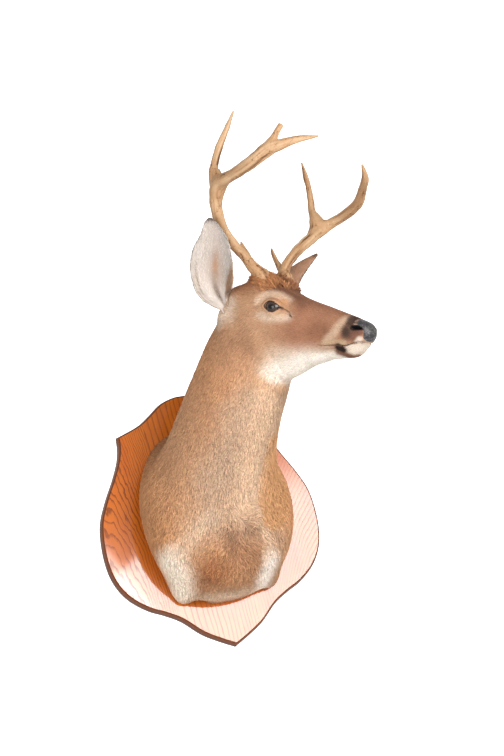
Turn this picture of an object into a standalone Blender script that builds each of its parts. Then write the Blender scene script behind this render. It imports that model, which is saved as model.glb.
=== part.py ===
"""Deer shoulder mount on a shield-shaped oak panel, life size, in metres.

The wall is the plane y = 0 and the mount stands out from it towards -Y.  +X is the deer's left
and +Z is up.  The origin is the middle of the panel's back face.  Flesh shapes reach to the tips
of the coat.  Shapes of the head are stated in the head's own frame: forward to the nose, out to
the deer's left, and up, from the point midway between the eyes.
"""

import math
from collections import namedtuple

import bmesh
import bpy
import numpy as np
from mathutils import Vector

GAP = 0.0003

# ------------------------------------------------------------------ panel
PANEL_HALF_WIDTH = 0.2275
PANEL_HALF_HEIGHT = 0.2653
PANEL_SIDE = 0.0085
PANEL_THICKNESS = 0.0220
PANEL_STEPS_PER_SPAN = 2
# Right half of the outline from the bottom tip to the top, in three smooth runs between corners.
PANEL_TIP_TO_SHOULDER = (
    (0.000, -PANEL_HALF_HEIGHT),
    (0.033, -0.2478),
    (0.064, -0.2283),
    (0.098, -0.1973),
    (0.128, -0.1793),
    (0.160, -0.1633),
    (0.192, -0.1378),
    (0.2125, -0.1083),
    (0.2240, -0.0733),
    (PANEL_HALF_WIDTH, -0.0263),
    (0.2220, 0.0237),
    (0.2040, 0.0677),
    (0.1815, 0.1097),
    (0.1655, 0.1447),
    (0.1585, 0.1717),
    (0.1570, 0.1957),
)
PANEL_CROWN = (
    (0.1570, 0.1957),
    (0.1100, 0.2137),
    (0.0830, 0.2317),
    (0.0540, 0.2537),
    (0.0240, 0.2640),
    (0.0000, 0.2653),
)
# Moulded edge from the side to the face: each step goes in and forward.
PANEL_EDGE_STEPS = (
    (0.0030, 0.0030),
    (0.0012, 0.0038),
    (0.0022, 0.0036),
    (0.0036, 0.0024),
    (0.0036, 0.0007),
)

# ------------------------------------------------------------------ head frame
HEAD_AT = np.array((0.1485, -0.3757, 0.2947))
HEAD_YAW = 33.9
HEAD_PITCH = -18.75
HEAD_ROLL = 0.5

# ------------------------------------------------------------------ body
FLESH_BACK = -PANEL_THICKNESS - GAP
RING_POINTS = 32
Station = namedtuple("Station", "top bottom yaw widest half_width round_top round_bottom")
Swell = namedtuple("Swell", "at reach height")
EYE_RADIUS = 0.0165
EYE_AT = (0.0005, 0.0450, 0.0005)
EYE_SEGMENTS = 18
EYE_RINGS = 10

# ------------------------------------------------------------------ ears
EAR_SPINES = {
    "right": (
        (-0.104, 0.044, -0.012),
        (-0.114, 0.068, 0.016),
        (-0.101, 0.118, 0.084),
        (-0.072, 0.160, 0.150),
    ),
    "left": (
        (-0.104, 0.044, -0.014),
        (-0.112, 0.070, 0.012),
        (-0.098, 0.123, 0.074),
        (-0.067, 0.166, 0.134),
    ),
}
EAR_OPENS = (0.52, 0.78, -0.33)
EAR_WIDTH = 0.076
EAR_THICKNESS = 0.0040
EAR_ROWS = 13
EAR_COLUMNS = 11

# ------------------------------------------------------------------ antlers
TINE_SIDES_RESOLUTION = 2
TINE_SPAN_STEPS = 2
Tine = namedtuple("Tine", "name points radii")


def rotation(yaw, pitch, roll=0.0):
    """Columns are forward, left and up for a heading away from the wall."""
    y, p, q = (math.radians(a) for a in (yaw, pitch, roll))
    forward = np.array((math.sin(y) * math.cos(p), -math.cos(y) * math.cos(p), math.sin(p)))
    left = np.array((math.cos(y), math.sin(y), 0.0))
    up = np.cross(forward, left)
    rolled_left = math.cos(q) * left + math.sin(q) * up
    rolled_up = -math.sin(q) * left + math.cos(q) * up
    return np.stack((forward, rolled_left, rolled_up), axis=1)


HEAD_AXES = rotation(HEAD_YAW, HEAD_PITCH, HEAD_ROLL)


def head_point(forward, left, up):
    """World position of a point stated in the head's frame."""
    return HEAD_AT + HEAD_AXES @ np.array((forward, left, up))


def head_station(top, bottom, widest, half_width, round_top, round_bottom):
    """A station of the head, with top and bottom given as (forward, up) on its middle plane."""
    return Station(
        tuple(head_point(top[0], 0.0, top[1])),
        tuple(head_point(bottom[0], 0.0, bottom[1])),
        HEAD_YAW,
        widest,
        half_width,
        round_top,
        round_bottom,
    )


# From the panel to the nose.  top and bottom are on the back line and on the throat line, widest
# is the height of the widest place as a share of the section, and roundness 2 is an ellipse.
STATIONS = (
    Station((0.000, FLESH_BACK, 0.190), (0.000, FLESH_BACK, -0.178), 0, 0.49, 0.134, 2.5, 2.5),
    Station((0.000, -0.050, 0.176), (0.000, -0.072, -0.184), 0, 0.50, 0.146, 2.4, 2.4),
    Station((0.001, -0.078, 0.166), (0.000, -0.125, -0.170), 0, 0.49, 0.149, 2.1, 2.3),
    Station((0.004, -0.100, 0.170), (0.000, -0.170, -0.130), 2, 0.48, 0.141, 2.0, 2.2),
    Station((0.008, -0.118, 0.186), (0.006, -0.205, -0.065), 5, 0.48, 0.118, 2.0, 2.1),
    Station((0.015, -0.137, 0.213), (0.022, -0.240, 0.012), 9, 0.48, 0.101, 2.0, 2.1),
    Station((0.025, -0.160, 0.247), (0.049, -0.282, 0.080), 14, 0.48, 0.087, 2.1, 2.1),
    Station((0.038, -0.187, 0.285), (0.082, -0.318, 0.131), 20, 0.48, 0.078, 2.1, 2.1),
    Station((0.056, -0.217, 0.322), (0.103, -0.331, 0.156), 26, 0.50, 0.073, 2.1, 2.1),
    Station((0.080, -0.256, 0.350), (0.117, -0.335, 0.167), 31, 0.54, 0.069, 2.2, 2.0),
    head_station((-0.098, 0.036), (0.000, -0.133), 0.58, 0.065, 2.3, 2.0),
    head_station((-0.055, 0.050), (0.008, -0.130), 0.62, 0.0610, 2.5, 1.9),
    head_station((-0.010, 0.041), (0.018, -0.127), 0.64, 0.0585, 2.7, 1.9),
    head_station((0.025, 0.026), (0.035, -0.121), 0.65, 0.0530, 2.7, 1.9),
    head_station((0.060, 0.013), (0.062, -0.112), 0.63, 0.0455, 2.4, 2.0),
    head_station((0.095, 0.001), (0.095, -0.102), 0.58, 0.0380, 2.2, 2.2),
    head_station((0.130, -0.012), (0.128, -0.097), 0.55, 0.0325, 2.2, 2.3),
    head_station((0.152, -0.020), (0.150, -0.096), 0.55, 0.0305, 2.2, 2.3),
    head_station((0.170, -0.027), (0.167, -0.092), 0.55, 0.0280, 2.2, 2.3),
    head_station((0.186, -0.034), (0.182, -0.080), 0.52, 0.0235, 2.3, 2.2),
    head_station((0.196, -0.043), (0.192, -0.071), 0.50, 0.0150, 2.1, 2.1),
    head_station((0.2005, -0.052), (0.199, -0.062), 0.50, 0.0050, 2.0, 2.0),
)
TRUNK_END = 4.0
NECK_END = 8.0
HEAD_END = 14.5
MUZZLE_END = 18.3
BODY_END = len(STATIONS) - 1


def trunk_swell(side, x, y, z, reach, height):
    """A swell stated in world coordinates, on the side given by the sign."""
    return Swell(np.array((side * x, y, z)), reach, height)


def head_swell(side, forward, out, up, reach, height):
    """A swell stated in the head's frame, on the side given by the sign."""
    return Swell(head_point(forward, side * out, up), reach, height)


def body_swells():
    """Foreleg stubs, brow, cheek, jaw muscle, nostril and the hair mounds at the antlers."""
    swells = []
    for side in (-1, 1):
        swells.append(trunk_swell(side, 0.101, -0.030, -0.158, 0.036, 0.021))
        swells.append(trunk_swell(side, 0.060, -0.030, -0.172, 0.020, -0.012))
        swells.append(trunk_swell(side, 0.130, -0.060, 0.010, 0.070, 0.004))
        swells.append(head_swell(side, 0.002, 0.050, 0.028, 0.017, 0.0045))
        swells.append(head_swell(side, 0.032, 0.046, -0.012, 0.016, -0.0030))
        swells.append(head_swell(side, -0.020, 0.052, -0.068, 0.034, 0.0035))
        swells.append(head_swell(side, -0.044, 0.034, 0.044, 0.026, 0.0320))
        swells.append(head_swell(side, -0.092, 0.046, 0.026, 0.026, 0.0120))
        swells.append(head_swell(side, 0.179, 0.020, -0.044, 0.011, 0.0030))
    swells.append(head_swell(0, -0.036, 0.0, 0.050, 0.022, 0.0130))
    return swells


SWELLS = body_swells()


def smooth_through(rows, places):
    """Values of a smooth curve that passes through the rows, at fractional row numbers."""
    rows = np.asarray(rows, float)
    places = np.asarray(places, float)
    last = len(rows) - 1
    index = np.clip(np.floor(places).astype(int), 0, last - 1)
    s = (places - index)[:, None]
    p1 = rows[index]
    p2 = rows[index + 1]
    p0 = np.where(index[:, None] == 0, 2 * p1 - p2, rows[np.maximum(index - 1, 0)])
    p3 = np.where(index[:, None] == last - 1, 2 * p2 - p1, rows[np.minimum(index + 2, last)])
    cubic = -p0 + 3 * p1 - 3 * p2 + p3
    square = 2 * p0 - 5 * p1 + 4 * p2 - p3
    return 0.5 * (2 * p1 + (p2 - p0) * s + square * s**2 + cubic * s**3)


STATION_ROWS = [
    (*st.top, *st.bottom, st.yaw, st.widest, st.half_width, st.round_top, st.round_bottom)
    for st in STATIONS
]


def body_ring(place):
    """Points of the body's section at a fractional station, and the way forward from it."""
    row = smooth_through(STATION_ROWS, [place])[0]
    top, bottom = row[:3], row[3:6]
    yaw, widest, half_width, round_top, round_bottom = row[6:]
    up = top - bottom
    height = np.linalg.norm(up)
    up /= height
    left = np.array((math.cos(math.radians(yaw)), math.sin(math.radians(yaw)), 0.0))
    left -= up * (left @ up)
    left /= np.linalg.norm(left)
    centre = bottom + up * height * widest
    angle = np.linspace(0.0, 2.0 * math.pi, RING_POINTS, endpoint=False)
    c, s = np.cos(angle), np.sin(angle)
    roundness = np.where(s > 0, round_top, round_bottom)
    reach = np.where(s > 0, height * (1.0 - widest), height * widest)
    across = half_width * np.sign(c) * np.abs(c) ** (2.0 / roundness)
    along = reach * np.sign(s) * np.abs(s) ** (2.0 / roundness)
    points = centre + across[:, None] * left + along[:, None] * up
    outward = points - centre
    outward /= np.linalg.norm(outward, axis=1)[:, None]
    lift = np.zeros(RING_POINTS)
    for swell in SWELLS:
        distance = np.linalg.norm(points - swell.at, axis=1) / swell.reach
        lift += swell.height * np.exp(-(distance**2))
    return points + outward * lift[:, None], np.cross(left, up)


def reset_scene():
    """Remove what the scene holds and return the collections for the parts and the cutters."""
    for item in list(bpy.data.objects):
        bpy.data.objects.remove(item, do_unlink=True)
    parts = bpy.data.collections.new("deer_shoulder_mount")
    cutters = bpy.data.collections.new("cutters")
    bpy.context.scene.collection.children.link(parts)
    bpy.context.scene.collection.children.link(cutters)
    return parts, cutters


PARTS, CUTTERS = reset_scene()


def material(name, colour, roughness, metallic=0.0):
    """A Principled material with one colour."""
    mat = bpy.data.materials.new(name)
    mat.use_nodes = True
    shader = mat.node_tree.nodes["Principled BSDF"]
    shader.inputs["Base Color"].default_value = (*colour, 1.0)
    shader.inputs["Roughness"].default_value = roughness
    shader.inputs["Metallic"].default_value = metallic
    mat.diffuse_color = (*colour, 1.0)
    return mat


def add_object(name, mesh, mat):
    """Put a mesh in the parts' collection under a node's name."""
    obj = bpy.data.objects.new(name, mesh)
    mesh.materials.clear()
    mesh.materials.append(mat)
    PARTS.objects.link(obj)
    mesh.shade_smooth()
    mesh.set_sharp_from_angle(angle=math.radians(40))
    return obj


def add_cutter(name, mesh):
    """Put a mesh in the cutters' collection."""
    obj = bpy.data.objects.new(name, mesh)
    CUTTERS.objects.link(obj)
    obj.hide_render = True
    obj.display_type = "WIRE"
    return obj


def cut(obj, cutter):
    """Take a cutter's shape out of an object."""
    modifier = obj.modifiers.new("cut_" + cutter.name, "BOOLEAN")
    modifier.operation = "DIFFERENCE"
    modifier.solver = "EXACT"
    modifier.object = cutter


def mesh_from_bmesh(name, bm):
    """Write a bmesh into a new mesh, with its faces pointing out."""
    bmesh.ops.recalc_face_normals(bm, faces=bm.faces)
    mesh = bpy.data.meshes.new(name)
    bm.to_mesh(mesh)
    bm.free()
    return mesh


def loft_mesh(name, rings):
    """Close a row of rings of points into one solid, with a flat face at each end."""
    bm = bmesh.new()
    rows = [[bm.verts.new(point) for point in ring] for ring in rings]
    count = len(rows[0])
    for near, far in zip(rows[:-1], rows[1:]):
        for i in range(count):
            j = (i + 1) % count
            bm.faces.new((near[i], near[j], far[j], far[i]))
    bm.faces.new(rows[0])
    bm.faces.new(rows[-1][::-1])
    return mesh_from_bmesh(name, bm)


def inflated(mesh, name, amount):
    """A copy of a closed mesh with each point moved out along its normal."""
    bm = bmesh.new()
    bm.from_mesh(mesh)
    bm.normal_update()
    shifts = [vert.normal * amount for vert in bm.verts]
    for vert, shift in zip(bm.verts, shifts):
        vert.co += shift
    return mesh_from_bmesh(name, bm)


# ------------------------------------------------------------------ panel
def panel_outline():
    """The shield's outline, once round, from the smooth runs of its right half."""
    half = []
    for run in (PANEL_TIP_TO_SHOULDER, PANEL_CROWN):
        steps = np.linspace(0, len(run) - 1, (len(run) - 1) * PANEL_STEPS_PER_SPAN + 1)
        half.extend(tuple(point) for point in smooth_through(run, steps)[:-1])
    half.append(PANEL_CROWN[-1])
    mirrored = [(-x, z) for x, z in half[1:-1]]
    return half + mirrored[::-1]


def build_panel():
    """The shield with a flat back on the wall and a moulded edge round its face."""
    bm = bmesh.new()
    back = bm.faces.new([bm.verts.new((x, 0.0, z)) for x, z in panel_outline()])
    front = bmesh.ops.extrude_face_region(bm, geom=[back])
    front_verts = [item for item in front["geom"] if isinstance(item, bmesh.types.BMVert)]
    bmesh.ops.translate(bm, verts=front_verts, vec=(0.0, -PANEL_SIDE, 0.0))
    bmesh.ops.recalc_face_normals(bm, faces=bm.faces)
    face = min(bm.faces, key=lambda f: f.calc_center_median().y)
    rise = sum(step[1] for step in PANEL_EDGE_STEPS)
    scale = (PANEL_THICKNESS - PANEL_SIDE) / rise
    for inset, forward in PANEL_EDGE_STEPS:
        bmesh.ops.inset_region(bm, faces=[face], thickness=inset, use_even_offset=True)
        bmesh.ops.translate(bm, verts=face.verts, vec=(0.0, -forward * scale, 0.0))
    oak = material("oak", (0.56, 0.27, 0.10), 0.32)
    add_object("panel", mesh_from_bmesh("panel", bm), oak)


# ------------------------------------------------------------------ flesh
def flesh_rings(start, end, per_station):
    """Rings between two stations, the first one set forward by the gap when it is a cut."""
    count = int(round((end - start) * per_station)) + 1
    rings = []
    for place in np.linspace(start, end, count):
        points, forward = body_ring(place)
        is_cut = place == start and start > 0
        rings.append(points + GAP * forward if is_cut else points)
    return rings


def build_flesh():
    """Trunk, neck, head, muzzle and nose, parted by thin flat cuts."""
    tan = material("coat_tan", (0.53, 0.34, 0.19), 0.85)
    brown = material("coat_brown", (0.40, 0.23, 0.12), 0.80)
    black = material("nose_black", (0.03, 0.025, 0.025), 0.35)
    spans = (
        ("trunk", 0.0, TRUNK_END, 3, tan),
        ("neck", TRUNK_END, NECK_END, 2.5, tan),
        ("head", NECK_END, HEAD_END, 3.7, brown),
        ("muzzle", HEAD_END, MUZZLE_END, 2.4, brown),
        ("nose", MUZZLE_END, BODY_END, 3, black),
    )
    return {
        name: add_object(name, loft_mesh(name, flesh_rings(start, end, per)), mat)
        for name, start, end, per, mat in spans
    }


def build_eyes(head):
    """A glass eye in a socket on each side."""
    glass = material("eye_glass", (0.02, 0.012, 0.008), 0.05)
    for name, side in (("eye_right", -1), ("eye_left", 1)):
        place = Vector(head_point(EYE_AT[0], side * EYE_AT[1], EYE_AT[2]))
        for target, radius in (("eye", EYE_RADIUS), ("socket", EYE_RADIUS + GAP)):
            bm = bmesh.new()
            bmesh.ops.create_uvsphere(bm, u_segments=EYE_SEGMENTS, v_segments=EYE_RINGS, radius=radius)
            mesh = mesh_from_bmesh(target, bm)
            if target == "eye":
                add_object(name, mesh, glass).location = place
            else:
                socket = add_cutter("socket_" + name, mesh)
                socket.location = place
                cut(head, socket)


# ------------------------------------------------------------------ ears
def ear_grid(side, spine_points):
    """Rows of points over the ear's middle surface, from its root to its tip."""
    mirror = np.array((1.0, side, 1.0))
    stages = np.linspace(0.0, len(spine_points) - 1.0, EAR_ROWS)
    spine = smooth_through(spine_points, stages) * mirror
    ahead = smooth_through(spine_points, stages + 0.01) * mirror
    share = np.concatenate(([0.0], np.cumsum(np.linalg.norm(np.diff(spine, axis=0), axis=1))))
    share /= share[-1]
    rows = []
    for s, place, beyond in zip(share, spine, ahead):
        axis = (beyond - place) / np.linalg.norm(beyond - place)
        opens = np.array(EAR_OPENS) * mirror
        opens -= axis * (opens @ axis)
        opens /= np.linalg.norm(opens)
        across = np.cross(axis, opens)
        leaf = math.sin(math.pi * min(s, 0.999) ** 1.08) ** 0.9
        half_chord = max(0.5 * EAR_WIDTH * (0.32 * (1.0 - s) ** 2 + 0.97 * leaf), 0.0030)
        wrap = math.radians(58.0 + 70.0 * (1.0 - s) ** 4 - 20.0 * s)
        radius = half_chord / math.sin(min(wrap, 0.5 * math.pi))
        row = []
        for v in np.linspace(-1.0, 1.0, EAR_COLUMNS):
            turn = wrap * v
            deep = radius * (math.cos(turn) - math.cos(min(wrap, 0.5 * math.pi)) * 0.5 - 0.5)
            row.append(head_point(*(place + across * (radius * math.sin(turn)) - opens * deep)))
        rows.append(row)
    return rows


def build_ears(head_cutter):
    """A cupped ear on each side, cut off where it meets the head."""
    skin = material("ear_fur", (0.55, 0.42, 0.34), 0.80)
    for word, side in (("right", -1), ("left", 1)):
        bm = bmesh.new()
        grid = ear_grid(side, EAR_SPINES[word])
        rows = [[bm.verts.new(point) for point in row] for row in grid]
        for near, far in zip(rows[:-1], rows[1:]):
            for i in range(EAR_COLUMNS - 1):
                bm.faces.new((near[i], near[i + 1], far[i + 1], far[i]))
        ear = add_object("ear_" + word, mesh_from_bmesh("ear", bm), skin)
        shell = ear.modifiers.new("thickness", "SOLIDIFY")
        shell.thickness = EAR_THICKNESS
        shell.offset = 0.0
        cut(ear, head_cutter)


# ------------------------------------------------------------------ antlers
RIGHT_BEAM = Tine(
    "beam",
    (
        (-0.034, -0.030, 0.046),
        (-0.040, -0.033, 0.064),
        (-0.048, -0.040, 0.078),
        (-0.061, -0.053, 0.098),
        (-0.073, -0.083, 0.120),
        (-0.076, -0.112, 0.144),
        (-0.070, -0.133, 0.172),
        (-0.063, -0.147, 0.200),
        (-0.048, -0.154, 0.220),
        (-0.014, -0.160, 0.229),
        (0.032, -0.162, 0.246),
        (0.065, -0.148, 0.272),
        (0.098, -0.110, 0.291),
        (0.119, -0.072, 0.300),
    ),
    (0.0150, 0.0180, 0.0150, 0.0135, 0.0125, 0.0122, 0.0118, 0.0122, 0.0125, 0.0105, 0.0100,
     0.0110, 0.0065, 0.0022),
)
LEFT_BEAM = Tine(
    "beam",
    (
        (-0.034, 0.030, 0.046),
        (-0.040, 0.033, 0.064),
        (-0.042, 0.039, 0.080),
        (-0.039, 0.050, 0.100),
        (-0.044, 0.080, 0.130),
        (-0.048, 0.115, 0.156),
        (-0.055, 0.138, 0.178),
        (-0.055, 0.150, 0.190),
        (-0.031, 0.160, 0.194),
        (0.002, 0.162, 0.208),
        (0.042, 0.150, 0.225),
        (0.076, 0.127, 0.244),
        (0.099, 0.100, 0.258),
        (0.109, 0.072, 0.276),
    ),
    (0.0150, 0.0180, 0.0150, 0.0130, 0.0122, 0.0118, 0.0115, 0.0120, 0.0110, 0.0100, 0.0100,
     0.0100, 0.0072, 0.0022),
)
RIGHT_TINES = (
    Tine("brow_tine", ((-0.056, -0.048, 0.086), (-0.070, -0.048, 0.104), (-0.083, -0.046, 0.121),
                       (-0.088, -0.046, 0.132)), (0.0085, 0.0070, 0.0045, 0.0016)),
    Tine("second_tine", ((-0.060, -0.146, 0.205), (-0.067, -0.151, 0.245), (-0.063, -0.143, 0.288),
                         (-0.055, -0.130, 0.329), (-0.053, -0.115, 0.365)),
         (0.0105, 0.0085, 0.0070, 0.0058, 0.0016)),
    Tine("third_tine", ((0.063, -0.148, 0.270), (0.079, -0.136, 0.298), (0.082, -0.133, 0.312),
                        (0.082, -0.134, 0.318)), (0.0080, 0.0062, 0.0058, 0.0030)),
)
LEFT_TINES = (
    Tine("brow_tine", ((-0.040, 0.048, 0.088), (-0.060, 0.048, 0.104), (-0.080, 0.046, 0.121),
                       (-0.088, 0.046, 0.132)), (0.0085, 0.0070, 0.0045, 0.0016)),
    Tine("second_tine", ((-0.0570, 0.1500, 0.1930), (-0.070, 0.150, 0.218), (-0.073, 0.138, 0.261),
                         (-0.073, 0.125, 0.289), (-0.073, 0.113, 0.313)),
         (0.0092, 0.0080, 0.0065, 0.0052, 0.0016)),
)
FORK_PLACE = 7.6


def tine_mesh(tine):
    """A tapered round stem along a smooth route in the head's frame."""
    count = (len(tine.points) - 1) * TINE_SPAN_STEPS + 1
    places = np.linspace(0, len(tine.points) - 1, count)
    route = smooth_through([head_point(*point) for point in tine.points], places)
    radii = smooth_through([(radius,) for radius in tine.radii], places)[:, 0]
    curve = bpy.data.curves.new(tine.name, "CURVE")
    curve.dimensions = "3D"
    curve.bevel_depth = 1.0
    curve.bevel_resolution = TINE_SIDES_RESOLUTION
    curve.use_fill_caps = True
    spline = curve.splines.new("POLY")
    spline.points.add(count - 1)
    for point, place, radius in zip(spline.points, route, radii):
        point.co = (*place, 1.0)
        point.radius = float(radius)
    guide = bpy.data.objects.new(tine.name, curve)
    CUTTERS.objects.link(guide)
    bpy.context.view_layer.update()
    graph = bpy.context.evaluated_depsgraph_get()
    mesh = bpy.data.meshes.new_from_object(guide.evaluated_get(graph))
    bpy.data.objects.remove(guide)
    bm = bmesh.new()
    bm.from_mesh(mesh)
    bmesh.ops.remove_doubles(bm, verts=bm.verts, dist=0.00001)
    return mesh_from_bmesh(tine.name, bm)


def parted(mesh, name, point, normal):
    """The half of a closed mesh that lies behind a plane, closed with a flat face."""
    bm = bmesh.new()
    bm.from_mesh(mesh)
    geometry = list(bm.verts) + list(bm.edges) + list(bm.faces)
    sliced = bmesh.ops.bisect_plane(bm, geom=geometry, plane_co=point, plane_no=normal, clear_outer=True)
    rim = [item for item in sliced["geom_cut"] if isinstance(item, bmesh.types.BMEdge)]
    bmesh.ops.edgeloop_fill(bm, edges=rim)
    return mesh_from_bmesh(name, bm)


def build_antlers(head):
    """Each antler as a lower and an upper beam and its tines."""
    antler = material("antler", (0.58, 0.37, 0.19), 0.55)
    for side, beam, tines in (("right", RIGHT_BEAM, RIGHT_TINES), ("left", LEFT_BEAM, LEFT_TINES)):
        whole = tine_mesh(beam)
        near, at, far = smooth_through(
            [head_point(*p) for p in beam.points], [FORK_PLACE - 0.1, FORK_PLACE, FORK_PLACE + 0.1]
        )
        along = Vector(far - near).normalized()
        fork = Vector(at)
        lower = parted(whole, "lower", fork, along)
        upper = parted(whole, "upper", fork + along * GAP, -along)
        add_object("antler_" + side + "_lower_beam", lower, antler)
        add_object("antler_" + side + "_upper_beam", upper, antler)
        clearance = add_cutter("clearance_" + side + "_beam", inflated(whole, "clearance", GAP))
        cut(head, clearance)
        for tine in tines:
            node = add_object("antler_" + side + "_" + tine.name, tine_mesh(tine), antler)
            cut(node, clearance)


def main():
    """Build every part of the mount."""
    build_panel()
    flesh = build_flesh()
    build_ears(add_cutter("clearance_head", inflated(flesh["head"].data, "clearance_head", GAP)))
    build_eyes(flesh["head"])
    build_antlers(flesh["head"])


main()
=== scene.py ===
"""Looks of the deer shoulder mount: skin, coat, eyes, ears, antlers and oak panel.

The wall is the plane y = 0, the mount stands out from it towards -Y, +X is the deer's left and
+Z is up.  Lengths are in metres, but for the tables and fields that say millimetres.  Shapes of
the head are stated in the head's own frame: forward to the nose, out to the deer's left, and up,
from the point midway between the eyes.
"""

from __future__ import annotations

import logging
import math
from dataclasses import dataclass, field
from enum import Enum
from typing import Any, Callable, Sequence

import bmesh
import bpy
import numpy as np
from mathutils import Matrix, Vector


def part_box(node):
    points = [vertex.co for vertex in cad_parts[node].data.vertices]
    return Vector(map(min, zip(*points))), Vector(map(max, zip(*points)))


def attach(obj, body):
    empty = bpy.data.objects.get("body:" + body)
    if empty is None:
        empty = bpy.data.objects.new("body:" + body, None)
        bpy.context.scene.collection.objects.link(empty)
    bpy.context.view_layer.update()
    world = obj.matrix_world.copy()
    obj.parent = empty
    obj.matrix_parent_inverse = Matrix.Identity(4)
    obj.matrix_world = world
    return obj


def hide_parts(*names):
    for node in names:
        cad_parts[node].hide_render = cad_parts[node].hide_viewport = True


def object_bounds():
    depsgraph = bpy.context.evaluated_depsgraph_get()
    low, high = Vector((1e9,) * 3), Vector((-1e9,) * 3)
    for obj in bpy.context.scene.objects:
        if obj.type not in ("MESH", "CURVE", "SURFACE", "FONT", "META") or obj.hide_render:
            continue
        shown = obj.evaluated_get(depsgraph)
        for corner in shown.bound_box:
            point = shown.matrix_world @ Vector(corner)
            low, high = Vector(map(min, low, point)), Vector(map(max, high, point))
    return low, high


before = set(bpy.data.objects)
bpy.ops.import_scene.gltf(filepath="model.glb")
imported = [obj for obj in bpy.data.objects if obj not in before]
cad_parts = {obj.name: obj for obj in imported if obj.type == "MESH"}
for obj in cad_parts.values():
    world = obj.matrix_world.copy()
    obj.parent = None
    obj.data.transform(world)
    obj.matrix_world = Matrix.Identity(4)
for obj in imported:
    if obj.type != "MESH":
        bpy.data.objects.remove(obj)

CAD_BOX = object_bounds()
BODY = "root"
MM = 0.001
LOG = logging.getLogger("mount")

Array = np.ndarray
Material = bpy.types.Material
Mesh = bpy.types.Mesh
Random = np.random.Generator
Triple = tuple[float, float, float]
Outline = tuple[tuple[float, float], ...]

WHITE: Triple = (0.86, 0.8, 0.72)
RED_BROWN: Triple = (0.3, 0.115, 0.042)
NEAR_BLACK: Triple = (0.028, 0.019, 0.015)


class Channel(Enum):
    """Names of the attributes that the meshes carry for their finishes."""

    TONE = "tone"
    SHAPE = "shape"
    UNWRAP = "OFBake"


# --- small maths
def smoothstep(low: float, high: float, value: Array) -> Array:
    """Ease from 0 at low to 1 at high."""
    t = np.clip((np.asarray(value, float) - low) / (high - low), 0.0, 1.0)
    return t * t * (3.0 - 2.0 * t)


def bell(value: Array, middle: float, reach: float) -> Array:
    """A smooth bump of height 1 round the middle."""
    return np.exp(-(((np.asarray(value, float) - middle) / reach) ** 2))


def unit(vectors: Array) -> Array:
    """Vectors scaled to length 1 along the last axis."""
    length = np.linalg.norm(vectors, axis=-1, keepdims=True)
    return vectors / np.maximum(length, 1e-12)


def blend(a: Array, b: Any, share: Array) -> Array:
    """Mix of two arrays of vectors, or an array and one vector, by a share for each."""
    return a + (np.asarray(b) - a) * np.asarray(share)[..., None]


def blob(points: Array, at: Any, reach: Any) -> Array:
    """A smooth bump of height 1 round a point in space, with one reach or one for each axis."""
    gaps = (points - np.asarray(at)) / reach
    return np.exp(-(gaps * gaps).sum(-1))


def along_surface(ways: Array, normals: Array) -> Array:
    """Unit directions with what points off the surface taken out."""
    return unit(ways - normals * (ways * normals).sum(-1, keepdims=True))


def walk(points: Array) -> Array:
    """Length walked from the first point to each point of a line."""
    return np.concatenate(([0.0], np.cumsum(np.linalg.norm(np.diff(points, axis=0), axis=1))))


def side_name(side: int) -> str:
    """What a side is called, -1 for the right and 1 for the left."""
    return "left" if side > 0 else "right"


def full_turn(count: int) -> Array:
    """Evenly spaced angles once round."""
    return np.linspace(0.0, 2.0 * math.pi, count, endpoint=False)


def rounded_end(last: Array, steps: int, least: float, bulge: float) -> Array:
    """Rings that round off the nose past its last ring.

    Args:
        last: the last ring's points.
        steps: how many rings are added.
        least: the size of the smallest ring, as a share of the last ring.
        bulge: how far the end stands past the last ring.

    Returns:
        The rings' points.
    """
    centre = last.mean(axis=0)
    ahead = HEAD.axes()[:, 0]
    turns = np.linspace(0.0, 0.5 * math.pi, steps + 1)[1:]
    return np.stack(
        [centre + (last - centre) * max(math.cos(t), least) + ahead * bulge * math.sin(t) for t in turns]
    )


def smooth_through(rows: Sequence, places: Sequence) -> Array:
    """Values of a smooth curve that passes through the rows.

    Args:
        rows: the values that the curve passes through.
        places: fractional row numbers.

    Returns:
        One row of values for each place.
    """
    rows = np.asarray(rows, float)
    places = np.asarray(places, float)
    last = len(rows) - 1
    index = np.clip(np.floor(places).astype(int), 0, last - 1)
    s = (places - index)[:, None]
    p1, p2 = rows[index], rows[index + 1]
    p0 = np.where(index[:, None] == 0, 2 * p1 - p2, rows[np.maximum(index - 1, 0)])
    p3 = np.where(index[:, None] == last - 1, 2 * p2 - p1, rows[np.minimum(index + 2, last)])
    cubic = -p0 + 3 * p1 - 3 * p2 + p3
    square = 2 * p0 - 5 * p1 + 4 * p2 - p3
    return 0.5 * (2 * p1 + (p2 - p0) * s + square * s**2 + cubic * s**3)


def spaced(start: float, end: float, count: int, crowding: Any) -> Array:
    """Places between two ends that stand closer where the crowding is higher.

    Args:
        start: first place.
        end: last place.
        count: how many places.
        crowding: a function of an array of places that gives how close they stand.

    Returns:
        The places, in order.
    """
    fine = np.linspace(start, end, 4000)
    weight = crowding(fine)
    total = np.concatenate(([0.0], np.cumsum(0.5 * (weight[1:] + weight[:-1]))))
    return np.interp(np.linspace(0.0, total[-1], count), total, fine)


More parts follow.
